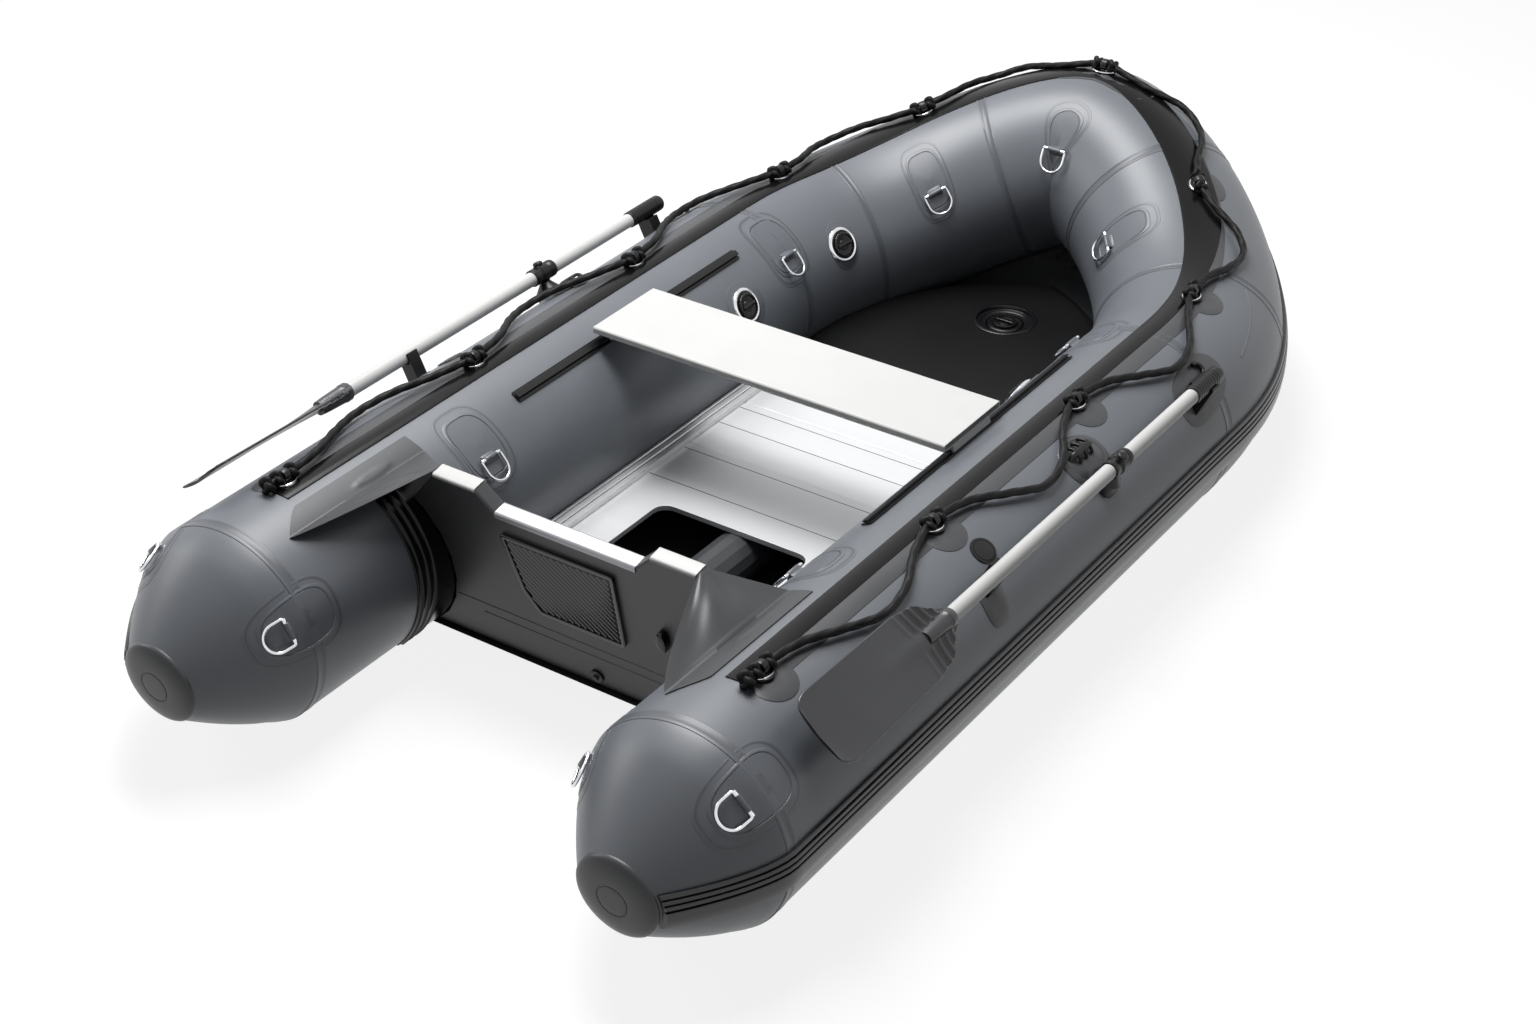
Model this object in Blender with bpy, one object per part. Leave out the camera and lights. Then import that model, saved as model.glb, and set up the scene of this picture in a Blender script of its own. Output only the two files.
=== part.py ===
"""Inflatable boat: a 2.8 m tender with a rigid transom, three air chambers, an aluminium floor,
a sliding bench, two oars on rowlock pins, eleven D-rings and a lifeline round the tubes.

Metres, +Z up, +Y towards the bow, +X to starboard. The origin is under the middle of the boat, on
the ground that both side tubes rest on. Each place along the boat is measured forward from the
stern, and each place round a tube is an angle: 0 degrees outboard, 90 on top, 180 inboard.
"""

import math

import bmesh
import bpy
import numpy as np
from mathutils import Matrix, Vector

for old in list(bpy.data.objects):
    bpy.data.objects.remove(old)

# Clearances
FIT_GAP = 0.0003        # between pieces that touch
RUN_GAP = 0.0006        # between pieces that slide or turn
OVERRUN = 0.01          # how far a cutter reaches past what it cuts

# Air tubes
TUBE_RADIUS = 0.21
TUBE_WALL = 0.0012
TUBE_SPACING = 1.046    # between the axes of the two side tubes
TUBE_SIDES = 24
ROUND_SIDES = 12         # of shafts, pins and valves
FACET = 360 / TUBE_SIDES

# Stern cones and their caps
CONE_TIP = 0.016
CONE_LENGTH = 0.2
CONE_TIP_RADIUS = 0.082
CONE_TIP_DROP = 0.017
CONE_STEPS = 4
CONE_SWELL = 1.4
CAP_PLUG_LENGTH = 0.014
CAP_DOME_SHARES = ((1, 0.3), (0.9, 0.62), (0.62, 0.88), (0.22, 1))

# Bow curve of the tubes
CURVE_START = 1.875
CURVE_LENGTH = 0.713
CURVE_STEPS = 9
CURVE_SIDE_POWER = 1.32
CURVE_NOSE_POWER = 0.934
BOW_RISE = 0.1906
RISE_START = 2.0
RISE_POWER = 2.54
CHAMBER_JOINT = 1.85

# Rub rail
RAIL_START = 0.021
RAIL_WIDTH = 0.074
RAIL_PROUD = 0.010
RAIL_GROOVE = 0.004
RAIL_RIBS = 4

# Lifeline: its band, eyelets and rope
BAND_LOW = 76
BAND_HIGH = 97
BAND_THICKNESS = 0.002
BAND_START = 0.36
EYELET_ANGLE = 84
EYELET_PLACES = (0.40, 0.955, 1.495, 2.04, 2.50)
EYELET_LENGTH = 0.016
EYELET_WALL = 0.0045
EYELET_SIDES = 10
ROPE_DIAMETER = 0.016
ROPE_TAIL = 0.03
ROPE_CLEAR = 0.0045
SWAG_POINTS = 5
SWAG_SKEW = 1.12
SWAG_DROPS = (19, 24, 23, 22, 20)

# D-rings and the keepers that are welded to the tubes
RING_WIRE = 0.006
RING_WIDTH = 0.055
RING_REACH = 0.052
RING_CORNER = 0.009
RING_LEAN = 4
KEEPER_LENGTH = 0.034
KEEPER_WIDTH = 0.016
KEEPER_TOP = 0.0052
BAR_HEIGHT = 0.0068
BOW_BAR_LIFT = 0.0075   # the bow's ring stands off the inside of the bend
FORE_BAR_LIFT = 0.002
KEEPER_ROOT = 0.001
RING_SIDE_PLACES = {"aft": (0.775, 139.5), "middle": (1.827, 138.5), "fore": (2.43, 147.5)}
RING_BOW_ANGLE = 156
RING_CONE_PLACE = 0.18
RING_CONE_ANGLES = {"inboard": 156, "outboard": 44.6}

# Transom
TRANSOM_RAKE = 10.5
TRANSOM_FOOT = 0.622
TRANSOM_FOOT_HEIGHT = 0.0445
TRANSOM_THICKNESS = 0.030
BOARD_FLANK_SHARE = 0.59
TUBE_BLOCK_REACH = 0.09
SHOULDER_HEIGHT = 0.4447
SHOULDER_OUTER = 0.304
SHOULDER_INNER = 0.204
SHOULDER_SLOPE_FOOT = 0.352
NOTCH_HEIGHT = 0.4055
NOTCH_HALF_WIDTH = 0.162
TRIM_THICKNESS = 0.003
TRIM_LIP = 0.010
PAD_THICKNESS = 0.008
PAD_TOP = 0.362
PAD_BOTTOM = 0.186
PAD_CORNER_HEIGHT = 0.235
PAD_TOP_PORT = 0.158
PAD_CORNER_PORT = 0.128
PAD_BOTTOM_PORT = 0.094
PAD_STARBOARD = 0.108
PAD_INNER_HALF_WIDTH = 0.12
DRAIN_RADIUS = 0.011
DRAIN_PLACE = 0.015
DRAIN_HEIGHT = 0.068
DRAIN_HEAD = 0.015
DRAIN_HEAD_LENGTH = 0.005
DRAIN_GRIP = 0.006
FITTING_PLACE = 0.203
FITTING_HEIGHT = 0.246
FITTING_SIZE = (0.024, 0.016, 0.052)
FITTING_SIDES = 14
FITTING_EDGE_SHARE = 0.6
FITTING_TOP_SHARE = 0.7
COLLAR_BEHIND_FOOT = 0.132
COLLAR_BEFORE_FOOT = 0.018
COLLAR_AFT = TRANSOM_FOOT - COLLAR_BEHIND_FOOT
COLLAR_FORE = TRANSOM_FOOT + COLLAR_BEFORE_FOOT
COLLAR_ANGLES = (120, 228)
COLLAR_THICKNESS = 0.003
COLLAR_RIB = 0.004
COLLAR_RIB_WIDTH = 0.006
COLLAR_FIRST_RIB = 0.011
COLLAR_RIB_PITCH = 0.019
COLLAR_RIB_COUNT = 3
COLLAR_RIB_PLACES = [COLLAR_AFT + COLLAR_FIRST_RIB + COLLAR_RIB_PITCH * k for k in range(COLLAR_RIB_COUNT)]
FLAP_AFT = 0.285
FLAP_FORE = 0.665
FLAP_ANGLES = (103, 117)
FLAP_THICKNESS = 0.002
FLAP_SPREAD = 0.0665
FLAP_HOLD = 0.012
FLAP_COLUMNS = 5

# Floor
FLOOR_TOP = 0.138
PANEL_THICKNESS = 0.012
PANEL_WALL = 0.0015
PANEL_HALF_WIDTH = 0.291
PANEL_JOINTS = (1.18, 1.434, 1.70)
PLANK_GROOVE = 0.0025
PLANK_LINES = (1.33, 1.536)
CUTOUT_FRONT = 1.10
CUTOUT_HALF_WIDTH = 0.185
CUTOUT_CORNER = 0.03
STRINGER_INNER = 0.279
STRINGER_TOP = 0.151
STRINGER_BOTTOM = 0.113
STRINGER_GROOVE = 0.003
STRINGER_WALL = 0.0022
STRINGER_SLOT_DEPTH = 0.0125
STRINGER_REACH_SHARE = 0.78
STRINGER_GROOVE_SHARES = (0.42, 0.2)
BOARD_INSET = 0.19
BOARD_HOLE_RADIUS = 0.07
KEEL_VALVE_PLACE = 2.19
SKIN_THICKNESS = 0.0015
SKIN_ANGLE = 233.5
SKIN_BOW_ANGLE = 246
SKIN_BOW_GAP = 0.0012    # the skin follows the bend in straight steps
SKIN_FLAT = 0.035
SKIN_START = 0.612
SKIN_AFT_LINE = 0.0425
KEEL_LINE = 0.02
KEEL_AFT_LENGTH = 0.45
KEEL_RISE_START = 2.3
KEEL_RISE = 0.17
KEEL_RISE_POWER = 1.7
KEEL_TUBE_ENDS = (0.68, 2.288)
KEEL_TUBE_SHARES = ((0, 0.72), (0.03, 1), (0.2, 1), (0.5, 1), (0.8, 1), (0.97, 1), (1, 0.72))
KEEL_SIDES = 16

# Bench and its tracks
BENCH_TOP = 0.433
BENCH_THICKNESS = 0.016
BENCH_AFT = 1.195
BENCH_DEPTH = 0.213
BENCH_HALF_LENGTH = 0.425
BENCH_WALL = 0.0025
BENCH_EDGE = 0.003
TRACK_ENDS = (0.93, 1.70)
TRACK_ANGLE = 120
TRACK_BASE_WIDTH = 0.026
TRACK_BASE = 0.0025
TRACK_WEB = 0.005
TRACK_WEB_HEIGHT = 0.0035
TRACK_HEAD = 0.013
TRACK_HEAD_HEIGHT = 0.003
SHOE_DEPTH = 0.14
SHOE_WALL = 0.0045

# Valves
VALVE_FLANGE_RADIUS = 0.041
VALVE_FLANGE = 0.003
VALVE_BARREL_RADIUS = 0.024
VALVE_BORE_RADIUS = 0.020
VALVE_BARREL_LENGTH = 0.026
VALVE_CAP_RADIUS = 0.029
VALVE_CAP_HEIGHT = 0.009
VALVE_CAP_TOP_SHARE = 0.8
VALVE_CAP_CREST_SHARE = 0.6
VALVE_GRIP_SHARE = 0.75
VALVE_GRIP_WIDTH_SHARE = 0.18
VALVE_GRIP_FOOT_SHARE = 0.4
VALVE_STEM_LENGTH = 0.010
VALVE_ANGLE = 150
VALVE_SIDE_PLACE = 1.633
VALVE_BOW_PLACE = 2.042

# Oars and what holds them
OAR_ANGLE = 46
OAR_STANDOFF = 0.053
OAR_FOOT_SHARE = 1.7       # how deep the feet under the oar reach before the tube cuts them
OAR_PLANE = 64
PIN_PLACE = 1.375
SHAFT_RADIUS = 0.0145
SHAFT_WALL = 0.0015
SHAFT_INSERTION = 0.09
SHAFT_FORE = 1.80
BLADE_AFT = 0.33
BLADE_NECK = 0.75
BLADE_HALF_WIDTH = 0.072
BLADE_THICKNESS = 0.006
BLADE_TILT = 13
BLADE_SOCKET_RADIUS = 0.0185
BLADE_CORNER_SHARE = 0.4
BLADE_SHOULDER_SHARES = (0.96, 0.62)
BLADE_WAIST_SHARES = (0.6, 0.4)
BLADE_ROOT_SHARE = 0.55
SOCKET_TIP_SHARE = 0.6
GRIP_PLACE = 1.69
GRIP_WALL = 0.006
GRIP_END_SHARE = 0.7
GRIP_RADIUS = 0.0178
PIN_RADIUS = 0.005
PIN_HEAD_RADIUS = 0.011
PIN_HEAD_HEIGHT = 0.008
PIN_HEAD_SHARE = 0.7
ROWLOCK_RADIUS = 0.03
ROWLOCK_NECK = 0.013
ROWLOCK_SHOULDER_SHARE = 0.78
REST_LENGTH = 0.03
REST_AFT_PLACE = 0.93
REST_FORE_PLACE = 1.755
REST_WALL = 0.006
REST_LIP_SHARE = 0.8
REST_HORN_SHARE = 0.4

HALF_SPACING = TUBE_SPACING / 2
CONE_END = CONE_TIP + CONE_LENGTH
BOW_AXIS = CURVE_START + CURVE_LENGTH
OVERALL_LENGTH = BOW_AXIS + TUBE_RADIUS + RAIL_PROUD
FLOOR_BOTTOM = FLOOR_TOP - PANEL_THICKNESS
CORNER_SHARE = 1 / math.cos(math.pi / TUBE_SIDES)


def material(name, colour, roughness, metallic=0.0):
    made = bpy.data.materials.new(name)
    made.use_nodes = True
    shader = made.node_tree.nodes["Principled BSDF"]
    shader.inputs["Base Color"].default_value = (*colour, 1)
    shader.inputs["Roughness"].default_value = roughness
    shader.inputs["Metallic"].default_value = metallic
    made.diffuse_color = (*colour, 1)
    return made


SLATE_PVC = material("slate_pvc", (0.085, 0.092, 0.105), 0.42)
CHARCOAL_PVC = material("charcoal_pvc", (0.03, 0.032, 0.036), 0.5)
BLACK_RUBBER = material("black_rubber", (0.01, 0.01, 0.011), 0.55)
BLACK_ROPE = material("black_rope", (0.008, 0.008, 0.009), 0.85)
BARE_ALUMINIUM = material("bare_aluminium", (0.72, 0.73, 0.74), 0.35, 1.0)
WHITE_ALUMINIUM = material("white_aluminium", (0.83, 0.83, 0.82), 0.35)
STEEL = material("steel", (0.7, 0.7, 0.72), 0.18, 1.0)
BLACK_PLASTIC = material("black_plastic", (0.014, 0.014, 0.015), 0.4)


def forward(place):
    """World y of a place measured forward from the stern."""
    return place - OVERALL_LENGTH / 2


def new_object(name, points, faces, look, helper=False):
    """A closed mesh object with its faces pointing out."""
    mesh = bpy.data.meshes.new(name)
    mesh.from_pydata([tuple(map(float, p)) for p in points], [], faces)
    edit = bmesh.new()
    edit.from_mesh(mesh)
    bmesh.ops.recalc_face_normals(edit, faces=edit.faces)
    if edit.calc_volume(signed=True) < 0:
        bmesh.ops.reverse_faces(edit, faces=edit.faces)
    edit.to_mesh(mesh)
    edit.free()
    mesh.materials.append(look)
    made = bpy.data.objects.new(name, mesh)
    bpy.context.scene.collection.objects.link(made)
    if helper:
        made.hide_render = True
        made.display_type = "WIRE"
    return made


def combine(name, pieces, operation):
    """Adds an exact Boolean with a helper object to a piece."""
    piece, helper = pieces
    change = piece.modifiers.new(name, "BOOLEAN")
    change.operation = operation
    change.object = helper
    change.solver = "EXACT"


def cut(piece, helper):
    combine("cut_" + helper.name, (piece, helper), "DIFFERENCE")


def fuse(piece, helper):
    combine("fuse_" + helper.name, (piece, helper), "UNION")


def smooth(piece, degrees=25):
    piece.data.shade_smooth()
    piece.data.set_sharp_from_angle(angle=math.radians(degrees))


def loft_faces(rings, count, closed=True, start=0):
    """Quads between rings of points that follow one another."""
    faces = []
    for i in range(rings - 1):
        for j in range(count if closed else count - 1):
            k = (j + 1) % count
            a, b = start + i * count, start + (i + 1) * count
            faces += [(a + j, a + k, b + k), (a + j, b + k, b + j)]
    return faces


def loft(name, rings, look, helper=False):
    """A solid through closed rings, flat at both ends."""
    rings = [list(ring) for ring in rings]
    count = len(rings[0])
    faces = loft_faces(len(rings), count)
    faces.append(tuple(range(count)))
    faces.append(tuple(range((len(rings) - 1) * count, len(rings) * count)))
    return new_object(name, [p for ring in rings for p in ring], faces, look, helper)


def sleeve(name, outer, inner, look, helper=False):
    """A hollow solid, open at both ends, between outer and inner rings."""
    count, rings = len(outer[0]), len(outer)
    shift = rings * count
    faces = loft_faces(rings, count) + loft_faces(rings, count, start=shift)
    for end in (0, (rings - 1) * count):
        for j in range(count):
            k = (j + 1) % count
            faces.append((end + j, end + k, shift + end + k, shift + end + j))
    return new_object(name, [p for ring in outer + inner for p in ring], faces, look, helper)


def prism(name, outline, low, high, look, place=Matrix(), helper=False):
    """An outline in the local XY plane, raised from z = low to z = high."""
    rings = [[place @ Vector((x, y, z)) for x, y in outline] for z in (low, high)]
    return loft(name, rings, look, helper)


def turned(name, profile, look, place=Matrix(), sides=24, helper=False):
    """A solid of revolution round the local Z axis, from (radius, height) points, low to high."""
    rings = []
    for radius, height in profile:
        ring = []
        for j in range(sides):
            turn = 2 * math.pi * (j + 0.5) / sides
            ring.append(place @ Vector((radius * math.cos(turn), radius * math.sin(turn), height)))
        rings.append(ring)
    return loft(name, rings, look, helper)


def bored(name, profile, bore, look, place=Matrix(), sides=24, helper=False):
    """A turned solid with a straight bore right through it."""
    rings = [[], []]
    for layer, radii in enumerate(((r for r, _ in profile), (bore for _ in profile))):
        for radius, (_, height) in zip(radii, profile):
            ring = []
            for j in range(sides):
                turn = 2 * math.pi * (j + 0.5) / sides
                ring.append(place @ Vector((radius * math.cos(turn), radius * math.sin(turn), height)))
            rings[layer].append(ring)
    return sleeve(name, rings[0], rings[1], look, helper)


def box_outline(x_low, x_high, y_low, y_high):
    return [(x_low, y_low), (x_high, y_low), (x_high, y_high), (x_low, y_high)]


def along_y(name, section, places, look, side=1, helper=False):
    """A section of (x, z) points carried along the boat through the given places."""
    rings = [[(side * x, forward(place), z) for x, z in section] for place in places]
    return loft(name, rings, look, helper)


# The centreline of the starboard tube, from the cone's tip to the middle of the bow. Each station
# has its centre, the way the tube runs, and the radius there.


def cone_station(share):
    """Share 0 is the tip of the stern cone, 1 its seam with the tube."""
    swell = 1 - (1 - share) ** CONE_SWELL
    radius = CONE_TIP_RADIUS + (TUBE_RADIUS - CONE_TIP_RADIUS) * swell
    centre = (HALF_SPACING, CONE_TIP + CONE_LENGTH * share, TUBE_RADIUS - CONE_TIP_DROP * (1 - share))
    return centre, radius


def bow_centre(share):
    """Share 0 is where the side tube starts to turn in, 1 the middle of the bow."""
    turn = share * math.pi / 2
    x = HALF_SPACING * math.cos(turn) ** CURVE_SIDE_POWER
    y = CURVE_START + CURVE_LENGTH * math.sin(turn) ** CURVE_NOSE_POWER
    climb = max(0.0, y - RISE_START) / (BOW_AXIS - RISE_START)
    return x if share < 1 else 0.0, y, TUBE_RADIUS + BOW_RISE * climb ** RISE_POWER


def even_bow_centres():
    """Points on the bow curve, equally far apart along it."""
    fine = np.array([bow_centre(share) for share in np.linspace(0, 1, 40 * CURVE_STEPS + 1)])
    run = np.concatenate([[0], np.cumsum(np.linalg.norm(np.diff(fine, axis=0), axis=1))])
    stops = np.linspace(0, run[-1], CURVE_STEPS + 1)
    return [tuple(float(np.interp(stop, run, fine[:, i])) for i in range(3)) for stop in stops]


def tube_stations():
    """Centres, radii and distances from the stern along the starboard tube's axis."""
    cone = [cone_station(i / CONE_STEPS) for i in range(CONE_STEPS + 1)]
    joint = ((HALF_SPACING, CHAMBER_JOINT, TUBE_RADIUS), TUBE_RADIUS)
    curve = [(centre, TUBE_RADIUS) for centre in even_bow_centres()]
    both = cone + [joint] + curve
    centres = [Vector((x, forward(y), z)) for (x, y, z), _ in both]
    run = [CONE_TIP]
    for a, b in zip(centres, centres[1:]):
        run.append(run[-1] + (b - a).length)
    slack = run[CONE_STEPS] - CONE_END
    run = [r if i < CONE_STEPS else r - slack for i, r in enumerate(run)]
    return centres, [radius for _, radius in both], run


CENTRES, RADII, RUN = tube_stations()
JOINT_STATION = CONE_STEPS + 1
BOW_STATION = len(CENTRES) - 1


def tangent_at(i):
    if i == BOW_STATION:
        return Vector((-1, 0, 0))
    if i <= CONE_STEPS:
        return (CENTRES[CONE_STEPS] - CENTRES[0]).normalized() if i < CONE_STEPS else Vector((0, 1, 0))
    if i <= JOINT_STATION + 1:
        return Vector((0, 1, 0))
    ahead, behind = CENTRES[i + 1] - CENTRES[i], CENTRES[i] - CENTRES[i - 1]
    return (ahead.normalized() + behind.normalized()).normalized()


def section_axes(i):
    """Outboard and upward directions of the tube's section at a station of the starboard tube."""
    run = tangent_at(i)
    up = (Vector((0, 0, 1)) - run * run.z).normalized()
    return run.cross(up), up


AXES = [section_axes(i) for i in range(BOW_STATION + 1)]


def facet_radius(radius, degrees):
    """Distance from the axis to the flat-sided tube at an angle."""
    off = (degrees + FACET / 2) % FACET - FACET / 2
    return radius / math.cos(math.radians(off))


def tube_point(i, degrees, lift=0.0, side=1):
    """A point at a station, at an angle round the tube, lifted off its flat-sided surface."""
    outboard, up = AXES[i]
    turn = math.radians(degrees)
    radius = facet_radius(RADII[i] + lift, degrees)
    point = CENTRES[i] + radius * (math.cos(turn) * outboard + math.sin(turn) * up)
    return Vector((side * point.x, point.y, point.z))


def segment_of(run):
    i = max(k for k in range(BOW_STATION) if RUN[k] <= run + 1e-9)
    return i, (run - RUN[i]) / (RUN[i + 1] - RUN[i])


def run_point(run, degrees, lift=0.0, side=1):
    """As tube_point, at any distance along the axis."""
    i, share = segment_of(run)
    return tube_point(i, degrees, lift, side).lerp(tube_point(i + 1, degrees, lift, side), share)


def frame_on_tube(run, degrees, side=1):
    """A frame on the tube's skin: local X runs to the bow, Z points straight off the facet."""
    i, share = segment_of(run)
    spot = run_point(run, degrees, side=side)
    bow = (tube_point(i + 1, degrees, side=side) - tube_point(i, degrees, side=side)).normalized()
    if run == RUN[BOW_STATION]:
        bow = Vector((-side, 0, 0))
    middle = round(degrees / FACET) * FACET
    edge = run_point(run, middle + FACET / 2, side=side) - run_point(run, middle - FACET / 2, side=side)
    off = bow.cross(edge).normalized()
    centre = CENTRES[i].lerp(CENTRES[i + 1], share)
    if off.dot(spot - Vector((side * centre.x, centre.y, centre.z))) < 0:
        off = -off
    bow = (bow - off * bow.dot(off)).normalized()
    return Matrix.Translation(spot) @ Matrix((bow, off.cross(bow), off)).transposed().to_4x4()


def ring_round(i, lift, side=1):
    """The tube's flat-sided ring at a station, its corners half a facet off the top and bottom."""
    return [tube_point(i, (j + 0.5) * FACET, lift, side) for j in range(TUBE_SIDES)]


def whole_way(make, first=0):
    """What make(station, side) gives at each station, port stern to bow to starboard stern."""
    port = [make(i, -1) for i in range(first, BOW_STATION)]
    starboard = [make(i, 1) for i in range(BOW_STATION, first - 1, -1)]
    return port + starboard


def envelope(name, lift):
    """A helper that fills the whole tube, to cut away what would reach into it."""
    return loft(name, whole_way(lambda i, side: ring_round(i, lift, side)), SLATE_PVC, helper=True)


TUBE_SPACE = envelope("tube_space", FIT_GAP)


def trim_run(i, run, side, make):
    """What make gives between two stations, at an exact distance along the axis."""
    share = (run - RUN[i]) / (RUN[i + 1] - RUN[i])
    return [a.lerp(b, share) for a, b in zip(make(i, side), make(i + 1, side))]


def side_tube(name, side):
    """One side chamber: a stern cone and a straight tube, open at both ends. Its rings follow the
    envelope's order, port to starboard, so that both have the same facets."""
    def rings(lift):
        shape = [ring_round(i, lift, side) for i in range(JOINT_STATION)]
        end = CHAMBER_JOINT - FIT_GAP / 2
        shape.append(trim_run(CONE_STEPS, end, side, lambda i, s: ring_round(i, lift, s)))
        return shape if side < 0 else shape[::-1]

    tube = sleeve(name, rings(0), rings(-TUBE_WALL), SLATE_PVC)
    smooth(tube)
    return tube


def bow_tube():
    """The bow chamber, closed at both ends by a welded diaphragm, with its air space inside."""
    def rings(lift, inset):
        start = CHAMBER_JOINT + inset

        def ring(i, side):
            return ring_round(i, lift, side)

        port = trim_run(JOINT_STATION, start, -1, ring)
        starboard = trim_run(JOINT_STATION, start, 1, ring)
        return [port] + whole_way(ring, JOINT_STATION + 1) + [starboard]

    tube = loft("tube_bow", rings(0, FIT_GAP / 2), SLATE_PVC)
    space = loft("bow_air_space", rings(-TUBE_WALL, FIT_GAP / 2 + TUBE_WALL), SLATE_PVC, helper=True)
    cut(tube, space)
    smooth(tube)
    return tube


def stern_cap(name, side):
    """The moulded cap that closes a stern cone: a shallow dome with a plug inside the cone."""
    outboard, up = AXES[0]
    run = tangent_at(0)
    centre = CENTRES[0]
    axes = [Vector((side * v.x, v.y, v.z)) for v in (outboard, up, -run)]
    place = Matrix(axes).transposed().to_4x4()
    place = Matrix.Translation((side * centre.x, centre.y, centre.z)) @ place
    plug = CONE_TIP_RADIUS - TUBE_WALL - 3 * FIT_GAP
    rim = CONE_TIP_RADIUS * CORNER_SHARE
    profile = [(plug, -CAP_PLUG_LENGTH), (plug, FIT_GAP), (rim, FIT_GAP)]
    profile += [(rim * across, CONE_TIP * out) for across, out in CAP_DOME_SHARES]
    cap = turned(name, profile, CHARCOAL_PVC, place, TUBE_SIDES)
    smooth(cap, 30)
    return cap


def rub_rail():
    """The ribbed rubber rail along the outside of the tubes, from one stern cap to the other."""
    cells = 2 * RAIL_RIBS - 1
    heights = []
    for cell in range(RAIL_RIBS):
        heights += [(2 * cell / cells, RAIL_PROUD), ((2 * cell + 1) / cells, RAIL_PROUD)]
        if cell < RAIL_RIBS - 1:
            heights.append(((2 * cell + 1.5) / cells, RAIL_PROUD - RAIL_GROOVE))

    def section(i, side):
        half = math.degrees(RAIL_WIDTH / 2 / RADII[i])
        outer = [tube_point(i, half * (2 * share - 1), lift, side) for share, lift in heights]
        return [tube_point(i, -half, -RAIL_GROOVE, side)] + outer + [tube_point(i, half, -RAIL_GROOVE, side)]

    ends = [trim_run(0, RAIL_START, side, section) for side in (-1, 1)]
    rail = loft("rub_rail", [ends[0]] + whole_way(section, 1) + [ends[1]], BLACK_RUBBER)
    cut(rail, TUBE_SPACE)
    smooth(rail)
    return rail


def rope_eye():
    """Radius of an eyelet's bore, and its height above the tube's skin."""
    bore = (ROPE_DIAMETER / 2 + FIT_GAP) / math.cos(math.pi / EYELET_SIDES)
    return bore, BAND_THICKNESS / 2 + EYELET_WALL + bore


def eyelet(name, run, side):
    """A moulded eye that stands on the band, its bore along the tube."""
    bore, height = rope_eye()
    place = frame_on_tube(run, EYELET_ANGLE, side)
    reach = bore + EYELET_WALL
    outer, inner = [], []
    for x in (-EYELET_LENGTH / 2, EYELET_LENGTH / 2):
        turns = [2 * math.pi * (j + 0.5) / EYELET_SIDES for j in range(EYELET_SIDES)]
        outer.append([
            place @ Vector((x, reach * math.cos(t), height + reach * math.sin(t)))
            for t in turns])
        inner.append([place @ Vector((x, bore * math.cos(t), height + bore * math.sin(t))) for t in turns])
    return sleeve(name, outer, inner, BLACK_RUBBER, helper=True)


def lifeline_band():
    """The fabric band on the tubes' shoulder, with the eleven eyelets that are moulded to it."""
    corners = [BAND_LOW, 85, 95, BAND_HIGH]

    def section(i, side):
        outer = [tube_point(i, a, BAND_THICKNESS, side) for a in corners]
        return outer + [tube_point(i, a, -BAND_THICKNESS, side) for a in (BAND_HIGH, BAND_LOW)]

    ends = [trim_run(CONE_STEPS, BAND_START, side, section) for side in (-1, 1)]
    rings = [ends[0]] + whole_way(section, JOINT_STATION) + [ends[1]]
    band = loft("lifeline_band", rings, BLACK_RUBBER)
    cut(band, TUBE_SPACE)
    for side, label in ((-1, "port"), (1, "starboard")):
        for number, run in enumerate(EYELET_PLACES):
            fuse(band, eyelet(f"eyelet_{label}_{number}", run, side))
    fuse(band, eyelet("eyelet_bow", RUN[BOW_STATION], 1))
    smooth(band)
    return band


def rope_route():
    """The rope's points: straight through each eyelet, and a swag down the tube between two."""
    _, height = rope_eye()
    pass_half = EYELET_LENGTH / 2 + ROPE_DIAMETER / 2
    lying = ROPE_DIAMETER / 2 + ROPE_CLEAR
    places = list(EYELET_PLACES) + [RUN[BOW_STATION]]
    def one_side(side):
        points = []
        for number, run in enumerate(places):
            frame = frame_on_tube(run, EYELET_ANGLE, side)
            if number == 0:
                points.append(frame @ Vector((-pass_half - ROPE_TAIL, 0, height)))
            points.append(frame @ Vector((-pass_half, 0, height)))
            if number == len(places) - 1:
                return points
            points.append(frame @ Vector((pass_half, 0, height)))
            free = places[number + 1] - run - 2 * pass_half
            for j in range(SWAG_POINTS):
                share = (j + 1) / (SWAG_POINTS + 1)
                drop = math.sin(math.pi * share ** SWAG_SKEW) ** 2
                near = math.cos(math.pi * share) ** 8
                points.append(run_point(
                    run + pass_half + free * share, EYELET_ANGLE - SWAG_DROPS[number] * drop,
                    lying + (height - lying) * near, side))

    return one_side(-1) + one_side(1)[::-1]


def lifeline_rope():
    """The rope, held by the eyelets all the way round."""
    points = rope_route()
    curve = bpy.data.curves.new("lifeline_rope", "CURVE")
    curve.dimensions = "3D"
    curve.bevel_depth = ROPE_DIAMETER / 2
    curve.bevel_resolution = 2
    curve.use_fill_caps = True
    line = curve.splines.new("POLY")
    line.points.add(len(points) - 1)
    for spot, point in zip(line.points, points):
        spot.co = (*point, 1)
    curve.materials.append(BLACK_ROPE)
    rope = bpy.data.objects.new("lifeline_rope", curve)
    bpy.context.scene.collection.objects.link(rope)
    length = sum((b - a).length for a, b in zip(points, points[1:]))
    print(f"lifeline rope: {length:.3f} m in {len(points)} points")
    return rope


def set_origin(piece, point):
    """Moves a piece's origin onto its joint's axis, and leaves its shape where it is."""
    piece.data.transform(Matrix.Translation(-Vector(point)))
    piece.location = point


# D-rings: each hangs in a keeper that is welded to the tube


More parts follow.
